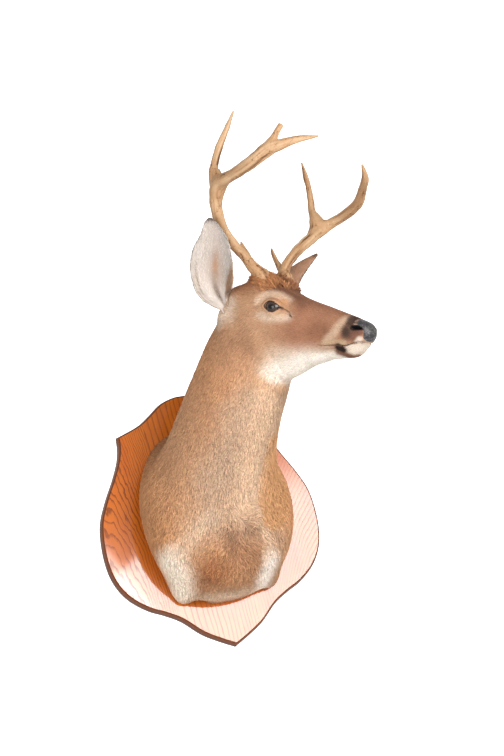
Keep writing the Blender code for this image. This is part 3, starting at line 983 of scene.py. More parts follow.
@dataclass
class Flesh:
    """The outer form of trunk, neck, head and muzzle, as a loft through stations.

    Attributes:
        gap: clearance to the panel.
        row_smoothing: how far the stations' values are smoothed, in stations.
        per_station: how many places are sampled from one station to the next.
    """

    gap: float = 0.0003
    row_smoothing: float = 0.22
    per_station: int = 40

    def __post_init__(self) -> None:
        """Smooth the stations' values and place the swells."""
        back = (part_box("panel")[0].y - self.gap) / MM
        self.stations = (
            Station((0, back, 190), (0, back, -178), 0, 0.49, 134, 2.5, 2.5),
            Station((0, -50, 176), (0, -72, -178), 0, 0.5, 146, 2.4, 2.4),
            Station((1, -78, 166), (0, -125, -165), 0, 0.49, 149, 2.1, 2.3),
            Station((4, -100, 170), (0, -170, -130), 2, 0.48, 141, 2.0, 2.2),
            Station((8, -118, 186), (6, -205, -65), 5, 0.48, 118, 2.0, 2.1),
            Station((15, -137, 213), (23, -242, 12), 9, 0.48, 103, 2.0, 2.1),
            Station((25, -160, 247), (52, -287, 78), 14, 0.48, 91.5, 2.1, 2.1),
            Station((38, -187, 285), (84, -320, 129), 20, 0.48, 83, 2.1, 2.1),
            Station((56, -217, 322), (103, -331, 156), 26, 0.5, 75.5, 2.1, 2.1),
            Station((80, -256, 350), (117, -335, 167), 31, 0.54, 69, 2.2, 2.0),
            head_station((-98, 36), (0, -133), 0.58, 65, 2.3, 2.0),
            head_station((-55, 50), (8, -130), 0.62, 61, 2.5, 1.9),
            head_station((-10, 41), (18, -127), 0.64, 58.5, 2.7, 1.9),
            head_station((25, 26), (35, -121), 0.65, 53, 2.7, 1.9),
            head_station((60, 13), (62, -112), 0.63, 45.5, 2.4, 2.0),
            head_station((95, 1), (95, -102), 0.58, 38, 2.2, 2.2),
            head_station((130, -12), (128, -97), 0.55, 32.5, 2.2, 2.3),
            head_station((152, -20), (150, -96), 0.55, 30.5, 2.2, 2.3),
            head_station((169, -27), (163, -91.5), 0.55, 28, 2.2, 2.3),
            head_station((184, -34), (177, -78), 0.52, 23.5, 2.3, 2.2),
            head_station((193.5, -43), (188.5, -70), 0.5, 15, 2.1, 2.1),
            head_station((197.5, -52), (196, -61), 0.5, 5, 2.0, 2.0),
        )
        self.end = len(self.stations) - 1.0
        self.swells = self._swells()
        self.dense = np.linspace(0.0, self.end, int(self.end) * self.per_station + 1)
        rows = smooth_through([station.row() for station in self.stations], self.dense)
        self.rows = self._smoothed(rows)

    def _swells(self) -> list[Swell]:
        """Foreleg stubs, brow, cheek, jaw muscle, nostril, the antlers' mounds and the neck's furrow."""
        swells = []
        for side in (-1, 1):
            for x, y, z, reach, height in SIDE_SWELLS:
                swells.append(Swell((side * x, y, z), reach, height))
            for forward, out, up, *sizes in HEAD_SWELLS:
                swells.append(Swell.on_head((forward, side * out, up), *sizes))
        swells.append(Swell.on_head((-36, 0, 50), 22, 13, 0.6))
        return swells + [Swell(at, 16, -4.5) for at in FURROW]

    def _smoothed(self, rows: Array) -> Array:
        """Average the stations' values along the body, with both ends held.

        Args:
            rows: values at closely spaced places.

        Returns:
            The averaged values, as many.
        """
        reach = int(3 * self.row_smoothing * self.per_station)
        spread = self.row_smoothing * self.per_station
        weights = np.exp(-0.5 * (np.arange(-reach, reach + 1) / spread) ** 2)
        weights /= weights.sum()
        before = 2 * rows[0] - rows[reach:0:-1]
        after = 2 * rows[-1] - rows[-2 : -reach - 2 : -1]
        long = np.concatenate((before, rows, after))
        return np.stack([np.convolve(long[:, k], weights, "valid") for k in range(rows.shape[1])], axis=1)

    def surface(self, places: Array, angles: Array, of_skin: bool = False) -> Array:
        """Points of the outer form.

        Args:
            places: fractional stations.
            angles: angles round each section, from its left side over its top.
            of_skin: whether only the skin's share of each swell is added.

        Returns:
            Points, by place and angle.
        """
        rows = np.stack([np.interp(places, self.dense, column) for column in self.rows.T], axis=1)
        top, bottom = rows[:, :3], rows[:, 3:6]
        yaw, widest, half_width, round_top, round_bottom = (rows[:, k][:, None] for k in range(6, 11))
        height = np.linalg.norm(top - bottom, axis=1, keepdims=True)
        up = (top - bottom) / height
        yaw = np.radians(yaw)
        left = np.concatenate((np.cos(yaw), np.sin(yaw), np.zeros_like(yaw)), axis=1)
        left = unit(left - up * (left * up).sum(1, keepdims=True))
        centre = (bottom + up * height * widest)[:, None, :]
        c, s = np.cos(angles)[None, :], np.sin(angles)[None, :]
        roundness = np.where(s > 0, round_top, round_bottom)
        reach = np.where(s > 0, height * (1.0 - widest), height * widest)
        across = half_width * np.sign(c) * np.abs(c) ** (2.0 / roundness)
        along = reach * np.sign(s) * np.abs(s) ** (2.0 / roundness)
        points = centre + across[..., None] * left[:, None, :] + along[..., None] * up[:, None, :]
        outward = unit(points - centre)
        lift = np.zeros(points.shape[:2])
        for swell in self.swells:
            height = swell.height * MM * (swell.skin_share if of_skin else 1.0)
            lift += height * blob(points, np.array(swell.at) * MM, swell.reach * MM)
        return points + outward * lift[..., None]


# --- face
MOUTH_LINE = (
    (95, 30, -73.5), (113, 29.5, -74.5), (131, 28, -76), (145, 26.5, -76.5), (157, 25, -74.8),
    (167, 23.8, -72.2), (175, 21.5, -70.8), (182, 12, -70.8), (185, 0, -71),
)
TEAR_LINE = ((16.5, 52.5, -2), (27, 50, -6), (36, 48, -11.5), (42.5, 46, -20.5))
NOSTRIL_LINE = ((167.5, 27.2, -45), (173.5, 26.8, -45.2), (179, 25.8, -45.6), (184.5, 23.2, -46.4))

# Where the bare pad begins behind the nose, as heights and the forward places of its edge there.
PAD_HEIGHTS = (-75, -70, -64, -58, -52, -48, -44.5, -41, -36.5, -30, -24)
PAD_BACKS = (188, 186.5, 184.5, 185.8, 186.8, 186.5, 183, 177, 171.5, 170.5, 169)


# Dimples and mounds of the skin on the head: place, reach and height, in millimetres.
DIMPLES = (
    ((160, 10, -90), 11, 1.0),
    ((150, 0, -100), 10, 0.8),
    ((60, 0, -114), 22, -4.5),
    ((100, 0, -104), 16, -3.0),
    ((50, 34, -46), 14, 1.2),
    ((75, 30, -30), 20, -1.0),
    ((118, 26, -52), 13, 0.9),
    ((205, 0, -50), 6, -0.8),
    ((188, 4, -76.5), 8.5, -4.6),
)


@dataclass
class EyeOpening:
    """The almond between the lids of one eye, seen along the gaze.

    The plane across the gaze has x forward, y up and z out of the head.

    Attributes:
        side: -1 for the right eye and 1 for the left one.
        front, back, front_height, back_height: the corners' places along x and y.
        upper, lower: how far the lids' edges arch above and below the line of the corners.
        turn, drop: how far the gaze turns forward from straight out, and down, in degrees.
        lid, lid_slope, lid_reach: the lids' thickness, the width over which they slope down to the
            skin, and how far from the gaze the skin is shaped at all.
        dome_reach: how far from the gaze the lids follow the ball.
        bulge, crease, sunk: height of the lids' swelling, and depths of the fold round it and of the
            opening.
    """

    side: int
    front: float = 16.0 * MM
    back: float = -20.5 * MM
    front_height: float = -2.2 * MM
    back_height: float = 2.6 * MM
    upper: float = 11.2 * MM
    lower: float = 10.2 * MM
    turn: float = 14.0
    drop: float = 3.0
    lid: float = 0.9 * MM
    lid_slope: float = 6.5 * MM
    lid_reach: float = 34.0 * MM
    dome_reach: float = 13.2 * MM
    bulge: float = 1.0 * MM
    crease: float = 1.1 * MM
    sunk: float = 8.0 * MM

    def __post_init__(self) -> None:
        """Find the ball, the axes and the middle of the lids' edge."""
        self.middle, self.half = 0.5 * (self.front + self.back), 0.5 * (self.front - self.back)
        low, high = (np.array(corner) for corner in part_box("eye_left" if self.side > 0 else "eye_right"))
        self.centre = 0.5 * (low + high)
        self.radius = float((high - low).max() / 2)
        a, b = math.radians(self.turn), math.radians(self.drop)
        gaze = np.array((math.sin(a) * math.cos(b), self.side * math.cos(a) * math.cos(b), -math.sin(b)))
        ahead = unit(np.array((1.0, 0.0, 0.0)) - gaze[0] * gaze)
        up = unit(np.array((0.0, 0.0, 1.0)) - gaze[2] * gaze - ahead[2] * ahead)
        self.axes = HEAD.axes() @ np.stack((ahead, up, gaze), axis=1)

    def local(self, points: Array) -> Array:
        """Points in the frame of the gaze."""
        return (points - self.centre) @ self.axes

    def world(self, points: Array) -> Array:
        """World places of points in the frame of the gaze."""
        return self.centre + points @ self.axes.T

    def heights(self, x: Array) -> tuple[Array, Array]:
        """Edges of the lower and the upper lid at places along x."""
        t = np.clip((x - self.middle) / self.half, -1.0, 1.0)
        tilt = self.back_height + (self.front_height - self.back_height) * (t + 1.0) * 0.5
        upper = tilt + self.upper * (1.0 - np.abs(t) ** 2.1) ** 0.95
        lower = tilt - self.lower * (1.0 - np.abs(t) ** 1.9) ** 1.1
        return lower, upper

    def dome(self, reach: Array) -> Array:
        """Height of the lids' edge above the ball's middle, at distances from the gaze."""
        edge = math.sqrt(self.radius**2 - self.dome_reach**2)
        fall = -0.4 * self.dome_reach / edge
        inside = np.sqrt(np.maximum(self.radius**2 - np.minimum(reach, self.dome_reach) ** 2, 0.0))
        return inside + fall * np.maximum(reach - self.dome_reach, 0.0) + self.lid

    def margin(self, count: int) -> Array:
        """The lids' edge, once round, in the frame of the gaze."""
        turn = full_turn(count)
        x = self.middle + self.half * np.cos(turn)
        lower, upper = self.heights(x)
        y = np.where(np.sin(turn) >= 0.0, upper, lower)
        return np.stack((x, y, self.dome(np.hypot(x, y))), axis=1)

    def measure(self, local: Array) -> tuple[Array, Array]:
        """Where points lie from the lids' edge.

        Args:
            local: points in the frame of the gaze.

        Returns:
            Signed distances from the edge, less than 0 inside, and the edge's heights there.
        """
        edge = self.margin(160)
        flat = local.reshape(-1, 3)
        out = np.full(len(flat), 1.0)
        level = np.zeros(len(flat))
        near = (np.hypot(flat[:, 0], flat[:, 1]) < 0.05) & (flat[:, 2] > -0.004)
        points = flat[near]
        gaps = np.linalg.norm(points[:, None, :2] - edge[None, :, :2], axis=2)
        nearest = gaps.argmin(axis=1)
        lower, upper = self.heights(points[:, 0])
        inside = (points[:, 1] < upper) & (points[:, 1] > lower)
        inside &= (points[:, 0] < self.front) & (points[:, 0] > self.back)
        out[near] = np.where(inside, -1.0, 1.0) * gaps[np.arange(len(points)), nearest]
        level[near] = edge[nearest, 2]
        return out.reshape(local.shape[:-1]), level.reshape(local.shape[:-1])

    def shape(self, points: Array) -> Array:
        """Raise the lids round the ball and sink the opening between them.

        Args:
            points: the skin's points.

        Returns:
            The moved points.
        """
        local = self.local(points)
        gap, level = self.measure(local)
        x, y, z = local[..., 0], local[..., 1], local[..., 2]
        is_upper = smoothstep(-0.002, 0.004, y)
        bulge = self.bulge * bell(gap, 2.4 * MM, 1.7 * MM) * (0.5 + 0.5 * is_upper)
        crease = self.crease * bell(gap, 5.6 * MM, 1.1 * MM) * (0.35 + 0.65 * is_upper)
        outside = level + (z - level) * smoothstep(0.0, self.lid_slope, gap) + bulge - crease
        inside = level - 0.8 * MM - self.sunk * smoothstep(0.0, 2.0 * MM, -gap)
        shaped = np.where(gap < 0.0, inside, outside)
        active = (np.hypot(x, y) < self.lid_reach) & (z > -2.0 * MM)
        local = local.copy()
        local[..., 2] = np.where(active, shaped, z)
        return self.world(local)


@dataclass
class Face:
    """Fine relief of the head: lids, tear ducts, lips, nostrils, chin and jaw.

    Attributes:
        lip_cut, front_lip_cut, lip: depth of the line between the lips, how much deeper it is in front,
            and how far the lips swell.
        tear_cut, tear_rim: depth of the tear duct and height of its edges.
        nostril_depth, nostril_rim: depth of the nostrils and height of their edges.
        cleft: depth of the groove down the middle of the nose pad.
    """

    lip_cut: float = 0.9 * MM
    front_lip_cut: float = 1.5 * MM
    lip: float = 0.9 * MM
    tear_cut: float = 2.4 * MM
    tear_rim: float = 0.7 * MM
    nostril_depth: float = 8.0 * MM
    nostril_rim: float = 1.0 * MM
    cleft: float = 0.7 * MM

    def __post_init__(self) -> None:
        """Find both eyes."""
        self.eyes = [EyeOpening(side) for side in (-1, 1)]

    @staticmethod
    def mirrored(points: Array) -> Array:
        """Points in the head's frame with the right half folded on the left."""
        local = HEAD.from_world(points)
        local[..., 1] = np.abs(local[..., 1])
        return local

    @staticmethod
    def nostril(local: Array) -> Array:
        """Depth of the nostril's hole from 0 to 1."""
        gap, place = distance_to_path(local, NOSTRIL_LINE)
        width = (1.3 + 2.3 * np.sin(np.clip(0.1 + 0.8 * place, 0, 1) * math.pi) ** 0.8) * MM
        return 1.0 - smoothstep(0.55, 1.25, gap / width)

    def relief(self, local: Array) -> Array:
        """How far the skin moves out along its normal.

        Args:
            local: points of the head's frame with the right half folded on the left.

        Returns:
            A distance for each point.
        """
        out = np.zeros(local.shape[:-1])
        mouth, place = distance_to_path(local, MOUTH_LINE)
        below = local[..., 2] < -0.0755
        front = smoothstep(0.15, 0.6, place)
        out -= (self.lip_cut + self.front_lip_cut * front) * bell(mouth, 0.0, 1.35 * MM)
        out += self.lip * bell(mouth, 4.2 * MM, 2.6 * MM) * np.where(below, 0.9, 0.7)
        tear, down = distance_to_path(local, TEAR_LINE)
        fading = 1.0 - 0.85 * smoothstep(0.55, 1.0, down)
        out -= self.tear_cut * bell(tear, 0.0, 1.5 * MM) * fading
        out += self.tear_rim * bell(tear, 3.6 * MM, 2.0 * MM) * fading
        nostril = self.nostril(local)
        rim, _ = distance_to_path(local, NOSTRIL_LINE)
        out += self.nostril_rim * bell(rim, 4.4 * MM, 1.6 * MM) - self.nostril_depth * nostril
        for at, reach, height in DIMPLES:
            out += height * MM * blob(local, np.array(at) * MM, reach * MM)
        f, l, u = (local[..., k] for k in range(3))
        cleft = bell(l, 0.0, 0.9 * MM) * smoothstep(0.188, 0.194, f) * smoothstep(-0.044, -0.05, u)
        return out - self.cleft * cleft

    @staticmethod
    def pad(local: Array) -> Array:
        """Where the bare nose pad is, from 0 to 1, for mirrored points of the head's frame."""
        f, l, u = (local[..., k] for k in range(3))
        back = np.interp(u / MM, PAD_HEIGHTS, PAD_BACKS) * MM - 0.05 * np.maximum(0.012 - l, 0.0)
        above_lip = smoothstep(-0.0722, -0.07, u)
        return smoothstep(0.0, 1.4 * MM, f - back) * above_lip

    def shape(self, points: Array) -> Array:
        """The skin's points with the lids made."""
        for eye in self.eyes:
            points = eye.shape(points)
        return points


# --- markings
class Where(Enum):
    """Which frame a marking is stated in."""

    HEAD = "head"
    WORLD = "world"

    def mirror(self, side: int) -> Array:
        """Factors that turn a place on the left half into one on a side, 1 for left and -1 for right."""
        return np.array((1.0, side, 1.0) if self is Where.HEAD else (side, 1.0, 1.0))


@dataclass(frozen=True)
class Marking:
    """A soft-edged patch of another tone, round a point or along a bent path.

    Attributes:
        path: one point, or the corners of a path, on the left half, in millimetres.
        reach: how far it spreads along each axis, in millimetres.
        tone: its colour.
        strength: its share at its middle.
        soft: share of the reach over which it fades.
        where: the frame it is stated in.
        sides: signs of the sides that it lies on.
    """

    path: Triple | tuple[Triple, ...]
    reach: Triple
    tone: Triple
    strength: float = 1.0
    soft: float = 0.5
    where: Where = Where.HEAD
    sides: tuple[int, ...] = (-1, 1)

    def weight(self, points: Array) -> Array:
        """How strongly it colours points.

        Args:
            points: points of its own frame.

        Returns:
            Its share at each point.
        """
        total = np.zeros(points.shape[:-1])
        scale = np.asarray(self.reach) * MM
        for side in self.sides:
            path = np.atleast_2d(self.path) * self.where.mirror(side)
            if len(path) == 1:
                gap = np.linalg.norm((points - path[0] * MM) / scale, axis=-1)
            else:
                gap, _ = distance_to_path(points, path, scale)
            total = np.maximum(total, 1.0 - smoothstep(1.0 - self.soft, 1.0 + self.soft, gap))
        return self.strength * total


# Tones along the back, the sides and the underside, at stations of the body.
BASE_TONES = (
    (0.0, (0.28, 0.13, 0.058), (0.47, 0.215, 0.095), (0.4, 0.22, 0.12)),
    (3.0, (0.29, 0.14, 0.065), (0.46, 0.225, 0.105), (0.4, 0.245, 0.15)),
    (5.0, (0.31, 0.152, 0.073), (0.43, 0.235, 0.128), (0.385, 0.25, 0.163)),
    (7.5, (0.34, 0.16, 0.073), (0.46, 0.235, 0.12), (0.375, 0.245, 0.16)),
    (8.7, (0.28, 0.14, 0.072), (0.39, 0.213, 0.115), (0.46, 0.265, 0.15)),
    (9.4, (0.265, 0.124, 0.063), (0.39, 0.21, 0.115), (0.53, 0.38, 0.27)),
    (10.5, (0.265, 0.122, 0.062), (0.41, 0.23, 0.126), (0.57, 0.45, 0.35)),
    (12.0, (0.24, 0.11, 0.06), (0.41, 0.23, 0.13), (0.63, 0.53, 0.43)),
    (14.0, (0.28, 0.13, 0.075), (0.37, 0.185, 0.108), (0.66, 0.57, 0.48)),
    (16.0, (0.27, 0.125, 0.072), (0.34, 0.165, 0.095), (0.52, 0.4, 0.29)),
    (18.0, (0.16, 0.08, 0.05), (0.3, 0.155, 0.092), (0.42, 0.3, 0.21)),
    (21.0, (0.16, 0.08, 0.05), (0.28, 0.14, 0.085), (0.42, 0.3, 0.21)),
)

# Each row of the two tables: path and reach in millimetres, tone, strength and softness.
BODY_MARKINGS = (
    # brisket, forelegs and the pale ridges up to the chest
    ((-12, -165, -122), (74, 100, 54), (0.345, 0.162, 0.074), 0.82, 0.6),
    ((-48, -160, -126), (30, 60, 26), (0.27, 0.1, 0.038), 0.75, 0.9),
    ((22, -180, -104), (26, 50, 22), (0.25, 0.125, 0.068), 0.55, 0.9),
    ((-6, -196, -80), (10, 30, 26), (0.22, 0.11, 0.062), 0.6, 0.9),
    (
        ((-24, -205, -56), (-8, -198, -78), (14, -200, -62), (30, -196, -72)),
        (4, 20, 5), (0.17, 0.085, 0.05), 0.45, 0.9,
    ),
    (
        ((-122, -130, -90), (-113, -110, -128), (-108, -80, -150)),
        (26, 60, 26), (0.92, 0.78, 0.63), 0.92, 0.75,
    ),
    (((70, -150, -128), (64, -120, -155), (62, -80, -172)), (20, 50, 20), (0.95, 0.85, 0.75), 0.8, 0.95),
    (((-50, -90, -178), (20, -90, -182)), (26, 50, 14), (0.82, 0.66, 0.5), 0.7, 0.95),
    (((-108, -150, -85), (-74, -195, -50), (-40, -213, -28)), (14, 30, 14), (0.6, 0.43, 0.3), 0.45, 0.9),
    (
        ((64, -160, -110), (56, -190, -60), (46, -215, -15), (46, -240, 40)),
        (11, 30, 11), (0.58, 0.42, 0.3), 0.38, 0.9,
    ),
    # the shoulder behind the neck's edge in its own orange-tan, its sharp edge painted as the shade line
    # where the neck overlaps it, and the neck's flank beside it painted paler as painted light
    (((116, -200, 66), (82, -190, -32)), (36, 400, 36), (0.47, 0.24, 0.108), 0.9, 0.14),
    (
        ((85, -280, 145), (60, -240, 85), (41, -220, 20), (22, -205, -22)),
        (24, 300, 24), (0.57, 0.378, 0.246), 0.72, 0.9,
    ),
)
HEAD_MARKINGS = (
    # head: crown, forehead, cheeks, jaw and throat
    ((-45, 34, 60), (34, 30, 30), RED_BROWN, 0.85, 0.5),
    ((-40, 0, 55), (40, 30, 24), (0.22, 0.085, 0.036), 0.8, 0.5),
    ((12, 20, 40), (40, 26, 18), (0.2, 0.095, 0.055), 0.6, 0.6),
    ((70, 0, 12), (80, 20, 18), (0.24, 0.105, 0.06), 0.65, 0.7),
    ((58, 34, -12), (20, 18, 12), (0.22, 0.09, 0.05), 0.6, 0.9),
    ((90, 30, -24), (24, 16, 10), (0.25, 0.11, 0.066), 0.5, 0.9),
    ((-35, 60, -30), (60, 40, 50), (0.45, 0.26, 0.155), 0.6, 0.8),
    ((-75, 60, -75), (50, 40, 40), (0.36, 0.185, 0.1), 0.6, 0.8),
    ((55, 42, -46), (48, 30, 24), (0.28, 0.126, 0.073), 0.82, 0.8),
    ((100, 34, -50), (28, 20, 18), (0.21, 0.092, 0.05), 0.75, 0.8),
    (((-12, 22, 44), (30, 24, 26), (56, 30, 2)), (11, 16, 9), (0.13, 0.058, 0.036), 0.6, 0.9),
    (((60, 18, -108), (15, 22, -118)), (36, 36, 19), WHITE, 0.62, 0.7),
    ((110, 14, -98), (40, 30, 12), WHITE, 0.8, 0.5),
    ((-48, 54, 46), (30, 24, 22), (0.27, 0.125, 0.07), 0.4, 0.9),
    # ear base
    ((-92, 52, 0), (16, 22, 22), (0.62, 0.5, 0.4), 0.75, 0.8),
    ((-122, 56, -10), (16, 22, 16), (0.66, 0.54, 0.43), 0.7, 0.8),
    ((-78, 56, -20), (18, 22, 18), (0.48, 0.27, 0.15), 0.5, 0.8),
    # round the eye
    (
        ((-30, 56, 12), (-14, 54, 24), (8, 48, 26), (30, 44, 12)),
        (6.5, 14, 6.2), (0.6, 0.44, 0.32), 0.74, 1.0,
    ),
    (
        ((-22, 58, -12), (-4, 58, -21), (18, 54, -22), (36, 48, -21)),
        (8.5, 14, 6.8), (0.62, 0.48, 0.37), 0.66, 1.0,
    ),
    ((24, 48, 8), (10, 12, 6), (0.44, 0.215, 0.1), 0.8, 0.5),
    ((-22, 58, -2), (8, 12, 8), (0.46, 0.26, 0.15), 0.6, 0.6),
    (((14, 53, -1), (23, 51, -4.5)), (3.2, 6, 2.6), NEAR_BLACK, 0.95, 0.45),
    (TEAR_LINE[:3], (1.8, 4, 1.8), NEAR_BLACK, 1.0, 0.45),
    (TEAR_LINE[2:], (1.5, 3, 1.5), NEAR_BLACK, 1.0, 0.5),
    # muzzle: pale band, dark patch, nostril with painted shade in its hole, lips and chin
    (
        ((149, 22, -29), (144, 26, -36), (136, 31, -46), (127, 32, -58), (114, 31, -69)),
        (8.5, 18, 8.5), (0.48, 0.335, 0.23), 0.85, 0.75,
    ),
    (((112, 30, -70), (135, 29, -70.5), (152, 28, -70)), (5.2, 14, 5.2), (0.44, 0.3, 0.185), 0.8, 0.5),
    ((171, 28, -59), (13, 14, 10), (0.14, 0.06, 0.04), 0.9, 0.5),
    ((155.5, 30, -51.5), (10, 16, 13), (0.036, 0.024, 0.02), 0.92, 0.65),
    (((162, 22, -35), (160, 10, -25)), (10, 14, 8.5), (0.045, 0.026, 0.02), 0.9, 0.5),
    (
        ((169.5, 23.5, -38.5), (179, 24.5, -40.2), (186, 21.5, -42)),
        (1.1, 4, 1.1), (0.34, 0.25, 0.22), 0.8, 0.6,
    ),
    (((169, 22, -34.5), (170, 11, -28)), (1.1, 4, 1.1), (0.4, 0.28, 0.24), 0.7, 0.6),
    (((172, 27, -52.5), (184, 25, -53.5)), (6, 12, 4.8), (0.11, 0.05, 0.034), 0.85, 0.6),
    # painted shade: the nostril's hole and its lower edge near black
    (NOSTRIL_LINE, (4.6, 20, 4.6), (0.006, 0.005, 0.005), 1.0, 0.35),
    (((171.5, 27, -47.2), (179, 26, -47.4)), (4.8, 20, 3.6), (0.006, 0.005, 0.005), 1.0, 0.35),
    (((180, 22, -64), (176, 22, -68)), (4.8, 8, 4), (0.52, 0.44, 0.37), 0.8, 0.6),
    (((164, 16, -82.2), (176, 6, -80)), (14.5, 22, 9.2), (0.54, 0.455, 0.375), 1.0, 0.4),
    (((136, 22, -87), (152, 14, -95)), (8.5, 16, 5.8), (0.145, 0.06, 0.035), 0.95, 0.6),
    (((138, 26, -78.5), (145.5, 26, -83)), (8, 12, 6.8), (0.018, 0.012, 0.01), 1.0, 0.4),
    (((152, 0, -96), (165, 0, -93)), (10, 12, 3), (0.16, 0.075, 0.045), 0.8, 0.5),
    (MOUTH_LINE[:4], (1.6, 4, 1.3), (0.14, 0.065, 0.04), 0.75, 0.8),
    (MOUTH_LINE[3:], (1.4, 4, 1.2), NEAR_BLACK, 0.85, 0.6),
)
MARKINGS = tuple(Marking(*row, where=Where.WORLD, sides=(1,)) for row in BODY_MARKINGS)
MARKINGS += tuple(Marking(*row) for row in HEAD_MARKINGS)


@dataclass
class Markings:
    """The coat's tones at any place of the body."""

    def tones(self, points: Array, places: Array, angles: Array) -> Array:
        """Colours on a grid of the body.

        Args:
            points: the grid's points.
            places: the rows' stations.
            angles: the columns' angles.

        Returns:
            A colour for each point.
        """
        stations = [row[0] for row in BASE_TONES]
        table = np.array([np.concatenate(row[1:]) for row in BASE_TONES])
        base = np.stack([np.interp(places, stations, column) for column in table.T], axis=1)
        back, side, belly = (base[:, None, k : k + 3] for k in (0, 3, 6))
        height = np.sin(angles)[None, :] + 0.12 * NOISE.fractal(points, 0.05)
        tone = blend(side, back, smoothstep(0.35, 0.95, height))
        tone = blend(tone, belly, smoothstep(-0.35, -0.92, height))
        ragged = np.stack([NOISE.fractal(points + shift, 0.018) for shift in (0.0, 1.7, 3.1)], axis=-1)
        loose = np.where(places > 10.0, 1.6 * MM, 5.0 * MM)[:, None, None]
        world = points + ragged * loose
        head = HEAD.from_world(world)
        for marking in MARKINGS:
            here = head if marking.where is Where.HEAD else world
            tone = blend(tone, marking.tone, marking.weight(here))
        cloud = 1.0 + 0.1 * NOISE.fractal(points, 0.03) + 0.09 * NOISE.fractal(points + 5.0, 0.007)
        return tone * cloud[..., None]


@dataclass(frozen=True)
class Stroke:
    """The way the hair is combed round a point, with place and reach in millimetres."""

    at: Triple
    direction: Triple
    reach: float
    strength: float = 3.0
    where: Where = Where.HEAD
    sides: tuple[int, ...] = (-1, 1)


# Each row: place in millimetres, direction, reach in millimetres, strength and, on the body, sides.
BODY_STROKES = (
    ((-55, -200, 10), (-0.5, 0.1, -0.85), 50, 2.0, (1,)),
    ((-12, -215, -35), (0.35, 0.0, -0.95), 26, 3.0, (1,)),
    ((34, -208, -50), (0.45, 0.1, 0.9), 18, 6.0, (1,)),
    ((-30, -185, -100), (-0.9, 0.3, -0.25), 32, 4.0, (1,)),
    ((26, -180, -105), (0.8, 0.2, -0.45), 30, 4.0, (1,)),
    ((-22, -130, -160), (-0.5, 0.5, -0.6), 36, 3.0, (1,)),
    ((24, -120, -160), (0.6, 0.5, -0.5), 36, 3.0, (1,)),
    ((140, -90, 0), (0.15, 0.5, -0.85), 90, 2.0, (-1, 1)),
    ((101, -120, -125), (0.0, 0.2, -1.0), 45, 4.0, (-1, 1)),
)
HEAD_STROKES = (
    ((0, 52, 30), (-0.9, 0.15, 0.35), 18, 2.0),
    ((30, 46, 6), (-0.7, 0.1, 0.65), 14, 3.0),
    ((2, 56, -22), (-0.95, 0.0, -0.3), 18, 2.0),
    ((-40, 60, -40), (-0.8, 0.0, -0.6), 45, 1.5),
    ((30, 40, -100), (-0.9, 0.0, -0.3), 40, 1.0),
    ((-40, 34, 50), (-0.3, 0.2, 0.9), 20, 3.0),
    ((-92, 50, 20), (-0.2, 0.5, 0.8), 22, 4.0),
    ((165, 20, -64), (-0.6, 0.1, -0.8), 10, 3.0),
    ((165, 10, -88), (-0.6, 0.2, -0.8), 12, 3.0),
)
STROKES = tuple(Stroke(*row[:4], Where.WORLD, row[4]) for row in BODY_STROKES)
STROKES += tuple(Stroke(*row) for row in HEAD_STROKES)


# --- tufts
@dataclass
class Groom:
    """How the hair grows at each point of a sheet's grid.

    Attributes:
        lie: unit directions along the surface.
        length, width, stand: a tuft's length and width, and its tip's height over the skin.
        density: how thickly the tufts stand.
        stray: how far a tuft turns from the lie, in degrees.
        tone: colours.
    """

    lie: Array
    length: Array
    width: Array
    stand: Array
    density: Array
    stray: Array
    tone: Array


